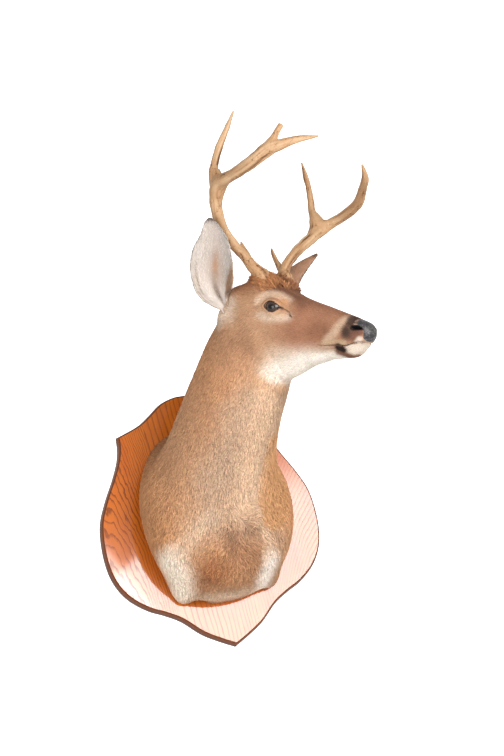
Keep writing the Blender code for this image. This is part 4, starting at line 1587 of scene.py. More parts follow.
@dataclass
class Tufts:
    """Solid pointed tufts grown over a sheet.

    Attributes:
        sheet: the skin that they stand on.
        groom: how they grow.
        rings: how many three-cornered sections a tuft has before its tip.
        patch: size of a tuft on the unwrap.
        sink: how deep a tuft's root lies under the skin.
        keep_out: largest y that a tuft may reach.
        variety: how much the tufts' brightness differs.
        hue_variety: how much each of the tufts' three colours differs.
        row_limit, column_limit: how far a tuft may run across the grid in one step.
    """

    sheet: Sheet
    groom: Groom
    rings: int = 3
    patch: float = 0.003
    sink: float = 0.25 * MM
    keep_out: float = 1.0
    variety: float = 0.09
    hue_variety: float = 0.03
    row_limit: float = 12.0
    column_limit: float = 14.0

    def sow(self, count: int, rows: tuple[int, int], rng: Random) -> tuple[Array, Array]:
        """Random roots, as many for each area as the density asks.

        Args:
            count: how many roots.
            rows: first and last row.
            rng: the random draws.

        Returns:
            Fractional rows and columns.
        """
        share = (self.sheet.cell_areas() * self.groom.density)[rows[0] : rows[1]].ravel()
        total = np.cumsum(share)
        picks = np.searchsorted(total, (np.arange(count) + rng.random(count)) / count * total[-1])
        picks = np.minimum(picks, len(total) - 1)
        columns = self.sheet.shape[1]
        i = rows[0] + picks // columns + rng.random(count) - 0.5
        j = picks % columns + rng.random(count) - 0.5
        return np.clip(i, rows[0], rows[1] - 1.001), j

    def grow(self, name: str, count: int, rows: tuple[int, int], rng: Random) -> Mesh:
        """Grow tufts between two rows of the sheet.

        Args:
            name: the mesh's name.
            count: how many tufts.
            rows: first and last row.
            rng: the random draws.

        Returns:
            The tufts as one mesh.
        """
        sheet, groom = self.sheet, self.groom
        i, j = self.sow(count, rows, rng)
        root = (i.copy(), j.copy())
        length = sheet.read(groom.length, i, j) * rng.uniform(0.75, 1.25, count)
        width = sheet.read(groom.width, i, j) * rng.uniform(0.75, 1.25, count)
        stand = sheet.read(groom.stand, i, j) * rng.uniform(0.35, 1.0, count)
        turn = np.radians(sheet.read(groom.stray, i, j)) * rng.normal(0.0, 1.0, count)
        tone = sheet.read(groom.tone, i, j)
        bend = turn * rng.uniform(-0.6, 0.9, count)
        shares = np.linspace(0.0, 1.0, self.rings + 1)
        rise = 1.0 - (1.0 - shares) ** 1.6
        fullness = np.array((0.75, 1.0, 0.8, 0.45))[: self.rings]
        run = np.sqrt(np.maximum(length**2 - stand**2, (0.35 * length) ** 2)) / self.rings
        spine, normals = [], []
        for k in range(self.rings + 1):
            normal = unit(sheet.read(sheet.normals, i, j))
            lift = rise[k] * (stand + self.sink) - self.sink
            spine.append(sheet.read(sheet.points, i, j) + normal * lift[:, None])
            normals.append(normal)
            if k < self.rings:
                lie = along_surface(sheet.read(groom.lie, i, j), normal)
                angle = (turn + bend * shares[k])[:, None]
                lie = lie * np.cos(angle) + np.cross(normal, lie) * np.sin(angle)
                di, dj = sheet.step(i, j, lie * run[:, None])
                i = i + np.clip(di, -self.row_limit, self.row_limit)
                j = j + np.clip(dj, -self.column_limit, self.column_limit)
        points, shading = self._bodies(np.stack(spine), np.stack(normals), width, fullness)
        points[..., 1] = np.minimum(points[..., 1], self.keep_out)
        mesh = self._mesh(name, points)
        self._dress(mesh, tone, rng)
        self._unwrap(mesh, root, rows)
        mesh.normals_split_custom_set_from_vertices(shading.reshape(-1, 3).tolist())
        return mesh

    def _bodies(
        self, spine: Array, normals: Array, width: Array, fullness: Array
    ) -> tuple[Array, Array]:
        """Corners of every tuft and the directions that they are shaded by.

        Args:
            spine: the middle of every tuft at each ring and at its tip.
            normals: the skin's normals there.
            width: the tufts' widths.
            fullness: share of the width at each ring.

        Returns:
            The corners and their shading normals, tuft by tuft.
        """
        ahead = unit(np.diff(spine, axis=0))
        points, shading = [], []
        for k in range(self.rings):
            side = unit(np.cross(normals[k], ahead[k]))
            half = (0.5 * width * fullness[k])[:, None]
            points += [spine[k] + side * half, spine[k] - side * half, spine[k] + normals[k] * half * 0.75]
            shading += [unit(normals[k] + lean) for lean in (0.45 * side, -0.45 * side, -0.1 * ahead[k])]
        points.append(spine[-1])
        shading.append(unit(normals[-1] + 0.4 * ahead[-1]))
        return np.stack(points, axis=1), np.stack(shading, axis=1)

    def _mesh(self, name: str, points: Array) -> Mesh:
        """Join the tufts' corners with faces.

        Args:
            name: the mesh's name.
            points: the corners, tuft by tuft.

        Returns:
            The mesh.
        """
        faces = [(0, 1, 2)]
        for k in range(self.rings - 1):
            for e in range(3):
                a, b = 3 * k + (e + 1) % 3, 3 * k + e
                faces.append((a, b, b + 3, a + 3))
        last = 3 * (self.rings - 1)
        faces += [(last + (e + 1) % 3, last + e, last + 3) for e in range(3)]
        self.pattern = np.concatenate([np.array(face) for face in faces])
        sizes = np.array([len(face) for face in faces])
        count, each = points.shape[:2]
        loops = (self.pattern[None, :] + each * np.arange(count)[:, None]).ravel()
        return new_mesh(name, points.reshape(-1, 3), loops, np.tile(sizes, count))

    @property
    def shares(self) -> Array:
        """How far along its tuft each corner lies, from 0 to 1."""
        return np.concatenate((np.repeat(np.arange(self.rings) / self.rings, 3), (1.0,)))

    def _dress(self, mesh: Mesh, tone: Array, rng: Random) -> None:
        """Give every tuft its tone and how far along it each corner lies."""
        count = len(tone)
        brightness = 1.0 + self.variety * rng.normal(0.0, 1.0, (count, 1))
        varied = tone * brightness * (1.0 + self.hue_variety * rng.normal(0.0, 1.0, (count, 3)))
        tones = np.repeat(np.clip(varied, 0.004, 0.95), len(self.shares), axis=0)
        paint(mesh, Channel.TONE, tones, np.tile(self.shares, count))

    def _unwrap(self, mesh: Mesh, root: tuple[Array, Array], rows: tuple[int, int]) -> None:
        """Put every tuft as a small patch at its root's place on the skin's unwrap.

        Args:
            mesh: the tufts.
            root: fractional rows and columns of their roots.
            rows: first and last row that they grow between.
        """
        travel = self.sheet.travel()
        v = np.interp(root[0], np.arange(len(travel)), travel)
        v = (v - travel[rows[0]]) / (travel[rows[1] - 1] - travel[rows[0]])
        u = (root[1] / self.sheet.shape[1]) % 1.0
        across = np.concatenate((np.tile((-0.5, 0.5, 0.0), self.rings), (0.0,)))[self.pattern]
        along = (self.shares - 0.5)[self.pattern]
        inside = 0.5 * self.patch
        u = np.clip(u, inside, 1.0 - inside)[:, None] + self.patch * across[None, :]
        v = np.clip(v, inside, 1.0 - inside)[:, None] + self.patch * along[None, :]
        unwrap(mesh, np.stack((u, v), axis=-1).reshape(-1, 2))


@dataclass(frozen=True)
class Pelt:
    """One piece of the coat, between two stations of the body."""

    name: str
    start: float
    end: float
    tufts: int
    variety: float = 0.13


@dataclass
class Body:
    """Skin and coat of the trunk, neck, head and muzzle.

    Attributes:
        rings, columns: how fine the skin's grid is.
        tip_rings: extra rings that round off the nose.
        ruff_tufts, ruff_stations: how many long tufts grow round the antlers, and where.
        pedicle: the path of an antler's root in the head's frame, in millimetres.
    """

    rings: int = 380
    columns: int = 250
    tip_rings: int = 5
    ruff_tufts: int = 3000
    ruff_stations: tuple[float, float] = (9.9, 12.6)
    pedicle: tuple[Triple, ...] = ((-30, 28, 30), (-44, 36, 90))
    pelts: tuple[Pelt, ...] = (
        Pelt("coat_shoulders", 0.0, 2.3, 15500),
        Pelt("coat_brisket", 2.3, 4.2, 16000, variety=0.2),
        Pelt("coat_lower_neck", 4.2, 5.9, 15000, variety=0.15),
        Pelt("coat_upper_neck", 5.9, 7.7, 14500),
        Pelt("coat_nape", 7.7, 9.7, 14000),
        Pelt("coat_crown", 9.7, 11.2, 14000),
        Pelt("coat_cheeks", 11.2, 13.0, 14500),
        Pelt("coat_bridge", 13.0, 15.6, 12500),
        Pelt("coat_muzzle", 15.6, 20.2, 11500),
    )

    def __post_init__(self) -> None:
        """Loft the skin and pull it in by the coat's depth."""
        self.flesh = Flesh()
        self.face = Face()
        self.places = spaced(0.0, self.flesh.end, self.rings, self._crowding)
        self.angles = spaced(0.0, 2.0 * math.pi, self.columns + 1, self._angle_crowding)[:-1]
        self.sheet = self._skin()

    def _crowding(self, places: Array) -> Array:
        """How close the rings stand: closest at the eyes, the nostrils and the mouth."""
        ends = 0.5 * (self.flesh.rows[:, :3] + self.flesh.rows[:, 3:6])
        pace = np.linalg.norm(np.gradient(ends, self.flesh.dense, axis=0), axis=1)
        stations = (0.0, 4.0, 8.0, 10.0, 11.2, 12.9, 13.6, 15.6, 16.6, 21.0)
        wanted = (5.5, 5.0, 3.6, 1.9, 0.95, 0.95, 1.6, 1.6, 0.85, 0.8)
        return np.interp(places, self.flesh.dense, pace) / np.interp(places, stations, wanted)

    @staticmethod
    def _angle_crowding(angles: Array) -> Array:
        """How close the columns stand: closest at the height of the eyes and of the mouth."""
        height = np.degrees(np.arctan2(np.sin(angles), np.abs(np.cos(angles))))
        return 1.0 + 1.7 * bell(height, 27.0, 14.0) + 0.8 * bell(height, -33.0, 15.0)

    def depth(self) -> Array:
        """The coat's depth at each ring."""
        stations = (0.0, 2.0, 4.0, 8.0, 9.5, 10.5, 12.0, 14.0, 16.0, 17.5, 19.0, 21.0)
        depths = (4.2, 4.6, 5.0, 4.6, 3.6, 2.6, 2.0, 1.6, 1.1, 0.7, 0.4, 0.3)
        return np.interp(self.places, stations, depths) * MM

    def _skin(self) -> Sheet:
        """The skin's sheet with all its relief."""
        outer = Sheet(self.flesh.surface(self.places, self.angles, of_skin=True))
        inner = outer.points - outer.normals * self.depth()[:, None, None]
        relief = self.face.relief(self.face.mirrored(outer.points))
        relief[self.places < 9.5] = 0.0
        skin = self.face.shape(inner + outer.normals * relief[..., None])
        skin[0] = outer.points[0] - outer.normals[0] * self.depth()[0]
        skin[:, :, 1] = np.minimum(skin[:, :, 1], self.flesh.rows[0][1])
        self.places = np.concatenate((self.places, np.full(self.tip_rings, self.flesh.end)))
        return Sheet(np.concatenate((skin, rounded_end(skin[-1], self.tip_rings, 0.08, 2.2 * MM))))

    def _lie(self) -> Array:
        """The way the hair lies at each point of the skin."""
        sheet = self.sheet
        lie = -unit(sheet.along)
        droop = np.interp(self.places, (0.0, 4.0, 8.0, 10.0), (0.7, 0.5, 0.35, 0.0))[:, None]
        lie = lie + droop[..., None] * np.array((0.0, 0.0, -1.0))
        head = HEAD.from_world(sheet.points)
        for stroke in STROKES:
            of_head = stroke.where is Where.HEAD
            for side in stroke.sides:
                mirror = stroke.where.mirror(side)
                here = head if of_head else sheet.points
                weight = stroke.strength * blob(here, np.array(stroke.at) * mirror * MM, stroke.reach * MM)
                way = unit(np.array(stroke.direction) * mirror)
                way = HEAD.axes() @ way if of_head else way
                lie = lie + weight[..., None] * way
        lie = along_surface(lie, sheet.normals)
        waviness = np.interp(self.places, (0, 4, 9, 11), (1.6, 1.3, 1.0, 0.5))[:, None]
        wave = 0.28 * NOISE.fractal(sheet.points, 0.035) * waviness
        return lie * np.cos(wave)[..., None] + np.cross(sheet.normals, lie) * np.sin(wave)[..., None]

    def _groom(self, tone: Array) -> Groom:
        """Sizes of the tufts over the whole skin, longer at the whorl of the chest and the antlers.

        Args:
            tone: the coat's colours.

        Returns:
            How the hair grows at each point of the skin.
        """
        local = self.face.mirrored(self.sheet.points)

        def along_body(stations: tuple, values: tuple) -> Array:
            """Values over the grid from values at stations."""
            return np.repeat(np.interp(self.places, stations, values)[:, None], self.columns, axis=1)

        stations = (0, 4, 8, 9.5, 10.5, 12, 14, 16, 19)
        length = along_body(stations, (15, 15, 13.5, 10.5, 7.2, 5.2, 4.6, 3.8, 2.8)) * MM
        width = along_body(stations, (1.45, 1.45, 1.35, 1.2, 1.0, 0.85, 0.8, 0.7, 0.55)) * MM
        stand = 0.85 * np.repeat(self.depth()[:, None], self.columns, axis=1)
        stray = along_body((0, 4, 8, 10, 12, 20), (11, 12, 10, 9, 8, 8))
        density = np.ones(self.sheet.shape)
        horn = blob(local, (-0.04, 0.033, 0.058), (0.024, 0.02, 0.02))
        crown = blob(local, (-0.036, 0.0, 0.055), (0.022, 0.022, 0.014))
        rough = np.clip(horn + 0.6 * crown, 0.0, 1.0)
        length += rough * 9.0 * MM
        stand += rough * 9.5 * MM
        width += rough * 0.7 * MM
        stray += rough * 26.0
        density *= 1.0 + 0.6 * rough
        world = self.sheet.points
        whorl = blob(world, (0.02, -0.203, -0.068), 0.034)
        brisket = blob(world, (-0.01, -0.165, -0.125), 0.06)
        stand += (4.5 * whorl + 1.2 * brisket) * MM
        length += 9.0 * MM * np.maximum(whorl, brisket)
        width += 0.25 * MM * np.maximum(whorl, brisket)
        stray += 14.0 * whorl + 16.0 * brisket
        density *= self._bare()
        return Groom(self._lie(), length, width, stand, density, stray, tone)

    def _bare(self) -> Array:
        """0 where no hair grows: eyes, nostrils, nose pad, mouth and antler roots."""
        points = self.sheet.points
        local = self.face.mirrored(points)
        open_places = 1.0 - self.face.pad(local)
        for eye in self.face.eyes:
            gap, _ = eye.measure(eye.local(points))
            open_places *= smoothstep(0.4 * MM, 1.6 * MM, gap)
        rim, _ = distance_to_path(local, NOSTRIL_LINE)
        open_places *= smoothstep(3.2 * MM, 4.6 * MM, rim)
        mouth, place = distance_to_path(local, MOUTH_LINE)
        open_places *= np.where(place > 0.3, smoothstep(0.8 * MM, 1.8 * MM, mouth), 1.0)
        pedicle, _ = distance_to_path(local, self.pedicle)
        open_places *= smoothstep(9.0 * MM, 11.5 * MM, pedicle)
        return open_places

    def build(self, rng: Random) -> None:
        """Make the skin and every piece of the coat.

        Args:
            rng: the random draws of all the mount's hair.
        """
        sheet = self.sheet
        tone = Markings().tones(sheet.points, self.places, self.angles)
        mesh = sheet.mesh("skin")
        paint(mesh, Channel.TONE, tone)
        reach = 1.05 * sheet.travel()[:, None]
        x, z = 0.07 * np.cos(self.angles)[None, :], 0.07 * np.sin(self.angles)[None, :]
        paint(mesh, Channel.SHAPE, np.stack(np.broadcast_arrays(x, reach, z), -1))
        add_piece("skin", mesh, PeltFinish().make(), ("trunk", "neck", "head", "muzzle", "nose"))
        hair = HairFinish().make()
        back = float(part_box("panel")[0].y) - 0.8 * MM
        groom = self._groom(tone)
        for pelt in self.pelts:
            rows = self._rows(pelt.start, pelt.end)
            tufts = Tufts(sheet, groom, rings=2, keep_out=back, variety=pelt.variety)
            add_piece(pelt.name, tufts.grow(pelt.name, pelt.tufts, rows, rng), hair)
        name, rows = "coat_antler_ruffs", self._rows(*self.ruff_stations)
        ruff = Tufts(sheet, self._ruff(groom), rings=3)
        add_piece(name, ruff.grow(name, self.ruff_tufts, rows, rng), hair)

    def _rows(self, start: float, end: float) -> tuple[int, int]:
        """The skin's rows at two stations."""
        return int(np.searchsorted(self.places, start)), int(np.searchsorted(self.places, end))

    def _ruff(self, groom: Groom) -> Groom:
        """Long ragged tufts that stand up round the antlers' roots and between them.

        Args:
            groom: how the short hair grows.

        Returns:
            How the long hair grows, with no density away from the roots.
        """
        local = self.face.mirrored(self.sheet.points)
        root, _ = distance_to_path(local, self.pedicle)
        ring = bell(root, 14.5 * MM, 5.5 * MM)
        f, l, u = (local[..., k] for k in range(3))
        between = bell(f, -0.034, 0.016) * bell(l, 0.0, 0.016) * (u > 0.03)
        rough = np.clip(ring + 0.8 * between, 0.0, 1.0)
        clumps = np.clip(0.5 + 0.9 * NOISE.fractal(self.sheet.points + 9.0, 0.007), 0.0, 1.3)
        ones = np.ones(self.sheet.shape)
        side = np.sign(HEAD.from_world(self.sheet.points)[..., 1])
        way = np.stack(np.broadcast_arrays(-0.45, 0.55 * side, 0.8), axis=-1) @ HEAD.axes().T
        strands = 1.0 + 0.9 * NOISE.fractal(self.sheet.points + 2.0, 0.0035)
        inner = bell(l, 0.012, 0.017)
        warm = np.where((side < 0)[..., None], (0.37, 0.16, 0.066), (0.22, 0.094, 0.044))
        shade = (0.55 + 0.65 * clumps + 0.25 * inner) * np.clip(strands, 0.35, 1.7)
        return Groom(
            lie=along_surface(way, self.sheet.normals),
            length=(14.0 + 8.0 * inner) * MM,
            width=2.0 * MM * ones,
            stand=(3.0 + 9.0 * clumps + 8.5 * inner) * MM,
            density=rough * (0.3 + clumps),
            stray=30.0 * ones,
            tone=np.clip(blend(groom.tone, warm, 0.8) * shade[..., None], 0.01, 0.9),
        )


@dataclass
class NosePad:
    """The bare black pad over the front of the nose, standing just proud of the skin.

    Attributes:
        body: the body that it is made with.
        start: the station where it begins, under the skin.
        rings, columns: how fine it is.
        proud: how far it stands out of the skin.
        cell, cell_height: size and height of its pebbles.
    """

    body: Body
    start: float = 17.2
    rings: int = 130
    columns: int = 220
    proud: float = 0.45 * MM
    cell: float = 1.5 * MM
    cell_height: float = 0.16 * MM

    def build(self) -> None:
        """Make the pad."""
        flesh, face = self.body.flesh, self.body.face
        places = np.linspace(self.start, flesh.end, self.rings)
        outer = Sheet(flesh.surface(places, full_turn(self.columns)))
        local = face.mirrored(outer.points)
        depth = np.interp(places, self.body.places[: self.body.rings], self.body.depth()[: self.body.rings])
        pad = face.pad(local)
        rise = face.relief(local) - depth[:, None] + self.proud * (2.0 * pad - 1.0)
        rise += self.cell_height * np.abs(NOISE.at(outer.points, self.cell)) * pad
        points = outer.points + outer.normals * rise[..., None]
        sheet = Sheet(np.concatenate((points, rounded_end(points[-1], 6, 0.05, 2.4 * MM))))
        add_piece("nose_pad", sheet.mesh("nose_pad"), NosePadFinish().make(), ("nose",))


# --- eyes
@dataclass
class Eye:
    """One glass eye and the dark edges of its lids.

    Attributes:
        side: -1 for the right eye and 1 for the left one.
        rows, columns: how fine the ball is.
        cornea: how far the cornea stands out of the ball.
        rim, rim_width, rim_height, rim_sink: radius of the lids' bead, its section and how deep it lies.
        rim_steps, rim_sides: how fine the bead is.
    """

    side: int
    rows: int = 40
    columns: int = 56
    cornea: float = 0.5 * MM
    rim: float = 0.95 * MM
    rim_width: float = 1.15
    rim_height: float = 0.85
    rim_sink: float = 0.35 * MM
    rim_steps: int = 132
    rim_sides: int = 10

    def __post_init__(self) -> None:
        """Name the eye and find its opening."""
        self.word = side_name(self.side)
        self.opening = EyeOpening(self.side)

    def _ball(self) -> Mesh:
        """The glass ball with the slight swell of the cornea."""
        polar = np.linspace(0.02, math.pi - 0.02, self.rows)[:, None]
        turn = full_turn(self.columns)[None, :]
        x, y = np.sin(polar) * np.cos(turn), np.sin(polar) * np.sin(turn)
        way = np.stack(np.broadcast_arrays(x, y, np.cos(polar)), axis=-1)
        radius = self.opening.radius - 0.1 * MM + self.cornea * np.exp(-((polar / 0.62) ** 4))
        sheet = Sheet(self.opening.world(way * radius[..., None]))
        if (sheet.normals[5, 0] @ (sheet.points[5, 0] - self.opening.centre)) < 0:
            sheet = Sheet(sheet.points[:, ::-1])
            way = way[:, ::-1]
        mesh = sheet.mesh("eyeball_" + self.word)
        paint(mesh, Channel.SHAPE, way)
        return mesh

    def _lids(self) -> Mesh:
        """A bead of bare dark skin along the lids' edge, thicker at the front corner."""
        edge = self.opening.margin(self.rim_steps)
        ahead = unit(np.roll(edge, -1, axis=0) - np.roll(edge, 1, axis=0))
        outward = unit(np.stack((ahead[:, 1], -ahead[:, 0], np.zeros(len(edge))), axis=1))
        lift = unit(np.cross(ahead, outward))
        lift *= np.sign(lift[:, 2:3])
        corner = bell(edge[:, 0], self.opening.front, 3.0 * MM)
        radius = self.rim * (0.85 + 0.5 * corner)[None, :, None]
        turn = np.linspace(0.0, 2.0 * math.pi, self.rim_sides + 1)[:, None, None]
        section = outward[None] * np.cos(turn) * self.rim_width + lift[None] * np.sin(turn) * self.rim_height
        points = edge[None] + radius * section
        points[..., 2] -= self.rim_sink
        sheet = Sheet(self.opening.world(points))
        if ((sheet.points - self.opening.world(edge)[None]) * sheet.normals).sum() < 0:
            sheet = Sheet(sheet.points[::-1])
        return sheet.mesh("lids_" + self.word, cap_ends=False)

    def build(self, glass: Material, lid: Material) -> None:
        """Make the ball and the lids' edges."""
        add_piece("eyeball_" + self.word, self._ball(), glass, ("eye_" + self.word,))
        add_piece("lids_" + self.word, self._lids(), lid)


# --- ears
# The ears' spines from root to tip in the head's frame, both stated on its left side, in millimetres.
LEFT_EAR = (
    (-110, 52, -4), (-123, 74, 28), (-119, 97, 58), (-109, 120, 85), (-95, 143, 110), (-72, 167, 135),
)
RIGHT_EAR = (
    (-110, 52, -2), (-122, 74, 31), (-114, 97, 66), (-96, 115, 97), (-79, 132, 127), (-65, 158, 157),
)


@dataclass
class Ear:
    """One cupped ear with short hair behind and long pale hair inside.

    Attributes:
        side: -1 for the right ear and 1 for the left one.
        widths: the width between the edges at shares of the length.
        patches: tones inside the ear, partly its own colours and partly painted shade that darkens the
            hollow of the cup towards its middle and root, with their strength and the middle and reach of
            each along the ear and across it.
        behind, behind_root, inside, inside_root: tones of its two faces, and lower down on them.
        inner_hair, rim, spot, strip_tone, edge_tone: tones of the long hair, the streaks behind the
            rear edge, the spots on that edge, the strip along the forward edge, and the outer edge.
        fringe_length: how much longer the hair is at the edges.
        tip_shortening: how much shorter the hair is towards the tip.
        curl: how much further the forward edge turns in, low on the ear.
        wrap, root_wrap, tip_unwrap: half the angle that the cup spans, how much wider it is at the root
            and narrower at the tip, in degrees.
        ridge, edge_roll: height of the ridges inside, and how far the edges roll in.
        thick_root, thick_tip: the ear's thickness.
        rows, columns, back_tufts, inner_tufts: how fine its grid is, and how many tufts it has.
    """

    side: int
    widths: Outline = (
        (0.0, 0.016), (0.07, 0.02), (0.14, 0.034), (0.21, 0.056), (0.3, 0.069), (0.48, 0.078), (0.6, 0.077),
        (0.72, 0.066), (0.82, 0.05), (0.91, 0.034), (0.97, 0.021), (1.0, 0.006),
    )
    patches: tuple[tuple[Triple, float, tuple[float, float], tuple[float, float]], ...] = (
        ((0.5, 0.37, 0.285), 0.6, (0.46, 0.22), (0.35, 0.45)),
        ((0.42, 0.345, 0.31), 0.65, (0.62, 0.2), (0.22, 0.42)),
        ((0.42, 0.235, 0.135), 0.9, (0.47, 0.15), (0.12, 0.14)),
        ((0.36, 0.275, 0.225), 0.75, (0.26, 0.15), (-0.02, 0.14)),
        ((0.2, 0.135, 0.1), 0.92, (0.16, 0.13), (0.02, 0.13)),
    )
    behind: Triple = (0.37, 0.205, 0.125)
    behind_root: Triple = (0.44, 0.31, 0.22)
    inside: Triple = (0.53, 0.455, 0.405)
    inside_root: Triple = (0.7, 0.62, 0.56)
    inner_hair: Triple = (0.74, 0.68, 0.62)
    rim: Triple = (0.3, 0.18, 0.11)
    spot: Triple = (0.12, 0.075, 0.05)
    strip_tone: Triple = (0.42, 0.25, 0.155)
    edge_tone: Triple = (0.085, 0.055, 0.04)
    fringe_length: float = 13.0 * MM
    tip_shortening: float = 0.0
    curl: float = 0.5
    wrap: float = 56.0
    root_wrap: float = 66.0
    tip_unwrap: float = 18.0
    ridge: float = 0.55 * MM
    edge_roll: float = 1.6 * MM
    thick_root: float = 3.4 * MM
    thick_tip: float = 1.5 * MM
    rows: int = 84
    columns: int = 104
    back_tufts: int = 4000
    inner_tufts: int = 4000

    def __post_init__(self) -> None:
        """Name the ear and take its spine."""
        self.word = side_name(self.side)
        if self.side > 0:
            pointed = ((0.72, 0.061), (0.82, 0.042), (0.91, 0.024), (0.97, 0.012), (1.0, 0.004))
            self.widths = self.widths[:7] + pointed
            self.fringe_length = 5.0 * MM
            self.tip_shortening = 0.45
            self.opens = (0.3, 0.9, -0.3)
            self.spine = LEFT_EAR
        else:
            self.opens = (0.52, 0.78, -0.33)
            self.spine = RIGHT_EAR
        self.share = np.zeros(self.rows)
        self.strip = np.zeros((self.rows, self.columns))
        self.fringe = np.zeros((self.rows, self.columns))
        self.sheet = self._shell()

    def _shell(self) -> Sheet:
        """The ear as one closed form: its inside and its back, joined round its edge."""
        mirror = np.array((1.0, self.side, 1.0))
        last = len(self.spine) - 1.0
        stages = last * (1.0 - (1.0 - np.linspace(0.0, 1.0, self.rows)) ** 1.25)
        spine = smooth_through(np.array(self.spine) * MM, stages) * mirror
        axis = unit(np.gradient(spine, axis=0))
        walked = walk(spine)
        self.share = walked / walked[-1]
        s = self.share[:, None]
        opens = np.array(self.opens) * mirror
        opens = unit(opens - axis * (axis @ opens)[:, None])
        across = -self.side * np.cross(axis, opens)
        shares, widths = zip(*self.widths)
        half = 0.5 * np.interp(s, shares, widths)
        wrap = np.radians(self.wrap + self.root_wrap * (1.0 - s) ** 4 - self.tip_unwrap * s)
        held = np.minimum(wrap, 0.5 * math.pi)
        radius = half / np.sin(held)
        around = full_turn(self.columns)[None, :]
        v = np.cos(around)
        turn = wrap * v * (1.0 + self.curl * bell(s, 0.33, 0.17) * smoothstep(0.4, 1.0, v))
        deep = radius * (np.cos(turn) - np.cos(held) * 0.5 - 0.5)
        ridges = self.ridge * np.cos(7.5 * v) * smoothstep(0.05, 0.3, s) * (1.0 - smoothstep(0.55, 0.9, s))
        curl = self.edge_roll * smoothstep(0.82, 1.0, np.abs(v)) * smoothstep(0.0, 0.3, s)
        inside = np.sin(around) > 0.0
        deep = deep - curl - np.where(inside, ridges, 0.0)
        middle = spine[:, None, :] + across[:, None, :] * (radius * np.sin(turn))[..., None]
        middle = middle - opens[:, None, :] * deep[..., None]
        facing = opens[:, None, :] * np.cos(turn)[..., None] - across[:, None, :] * np.sin(turn)[..., None]
        thick = self.thick_root + (self.thick_tip - self.thick_root) * smoothstep(0.0, 0.8, s)
        offset = 0.5 * thick * np.sign(np.sin(around)) * np.abs(np.sin(around)) ** 0.6
        points = HEAD.to_world(middle + facing * offset[..., None])
        self.edge = np.broadcast_to(np.abs(v), offset.shape)
        self.turned = np.broadcast_to(v, offset.shape)
        self.inner = np.broadcast_to(smoothstep(-0.1, 0.1, np.sin(around)), offset.shape)
        sheet = Sheet(points)
        outward = (sheet.normals * (HEAD.axes() @ opens.T).T[:, None, :]).sum(-1)
        if outward[self.rows // 2, self.columns // 4] < 0:
            order = np.roll(np.arange(self.columns)[::-1], 1)
            sheet = Sheet(points[:, order])
            self.edge, self.turned, self.inner = (a[:, order] for a in (self.edge, self.turned, self.inner))
        return sheet

    def _tones(self) -> Array:
        """Brown behind with a dark edge, pinkish grey and white inside, darker towards the cup's middle and
        root as painted shade.
        """
        v = self.turned
        s = np.broadcast_to(self.share[:, None], v.shape)
        cloud = NOISE.fractal(self.sheet.points, 0.012)
        back = blend(np.array(self.behind), self.behind_root, smoothstep(0.35, 0.0, s))
        inner = blend(np.array(self.inside), self.inside_root, smoothstep(0.42, 0.15, s))
        # some of these tones are painted shade in the hollow of the cup
        for tone, strength, along, across in self.patches:
            inner = blend(inner, tone, strength * bell(s, *along) * bell(v, *across))
        streak = np.clip(NOISE.fractal(np.stack((v * 0.05, s * 0.012, s * 0.0), axis=-1), 0.004), 0.0, 1.0)
        rim = bell(v, -0.8, 0.24) * bell(s, 0.32, 0.25)
        inner = blend(inner, self.rim, np.clip(rim * (0.15 + 1.8 * streak), 0.0, 0.85))
        inner = inner * (1.0 - 0.2 * streak * smoothstep(0.1, 0.4, s))[..., None]
        spots = smoothstep(-0.9, -0.97, v) * bell(s, 0.4, 0.3) * np.clip(0.4 + 2.0 * cloud, 0.0, 1.0)
        inner = blend(inner, self.spot, 0.9 * spots)
        narrowing = 1.1 * np.maximum(s - 0.25, 0.0)
        self.strip = smoothstep(0.48, 0.62, v - narrowing) * bell(s, 0.3, 0.26)
        inner = blend(inner, self.strip_tone, np.clip(1.2 * self.strip, 0.0, 0.95))
        self.fringe = np.clip(rim * (0.25 + 2.0 * streak), 0.0, 1.0)
        tone = blend(back, inner, self.inner)
        dark = smoothstep(0.9, 0.985, self.edge + 0.03 * cloud) * smoothstep(0.3, 0.75, s)
        ends = 0.9 if self.side > 0 else 0.93
        dark = np.maximum(dark, 0.9 * smoothstep(ends, ends + 0.055, s + 0.02 * cloud))
        tone = blend(tone, self.edge_tone, 0.85 * dark)
        return tone * (1.0 + 0.12 * cloud)[..., None]

    def _groom(self, of_back: bool, tone: Array) -> Groom:
        """Sizes of the tufts behind or inside the ear.

        Args:
            of_back: whether they are those behind.
            tone: the ear's colours.

        Returns:
            How the hair grows, with no density on the other face.
        """
        shape = self.edge.shape
        s = np.broadcast_to(self.share[:, None], shape)
        lie = unit(self.sheet.along)
        side = unit(self.sheet.across)
        inward = np.sign(self.turned) * np.where(self.inner > 0.5, 1.0, -1.0)
        ones = np.ones(shape)
        if of_back:
            density = (1.0 - self.inner) * smoothstep(0.02, 0.1, s)
            density = density + 0.5 * smoothstep(0.9, 0.97, self.edge)
            return Groom(lie, 6.2 * MM * ones, 1.0 * MM * ones, 0.9 * MM * ones, density, 9.0 * ones, tone)
        near_edge = smoothstep(0.35, 0.95, self.edge)
        lean = (0.55 * near_edge * inward)[..., None]
        lie = unit(lie + side * lean)
        middle = bell(self.turned, 0.1, 0.34) * bell(s, 0.38, 0.34)
        paleness = 0.7 * (1.0 - smoothstep(0.93, 0.99, s)) * (1.0 - 0.85 * middle)
        paleness = paleness * (1.0 - np.clip(1.3 * self.strip + self.fringe, 0.0, 0.95))
        pale = blend(tone, self.inner_hair, paleness)
        fringe = self.fringe_length * near_edge * (1.0 - smoothstep(0.55, 0.95, s))
        length = (5.0 * MM + fringe + 4.0 * MM * smoothstep(0.3, 0.0, s)) * (
            1.0 - self.tip_shortening * smoothstep(0.45, 0.65, s)
        )
        stand = (0.7 + 2.6 * near_edge * (1.0 - smoothstep(0.6, 0.95, s))) * MM
        density = self.inner * (0.3 + 1.3 * near_edge) * smoothstep(0.03, 0.12, s) * (1.0 - 0.5 * middle)
        return Groom(lie, length, 0.75 * MM * ones, stand, density, 11.0 * ones, pale)

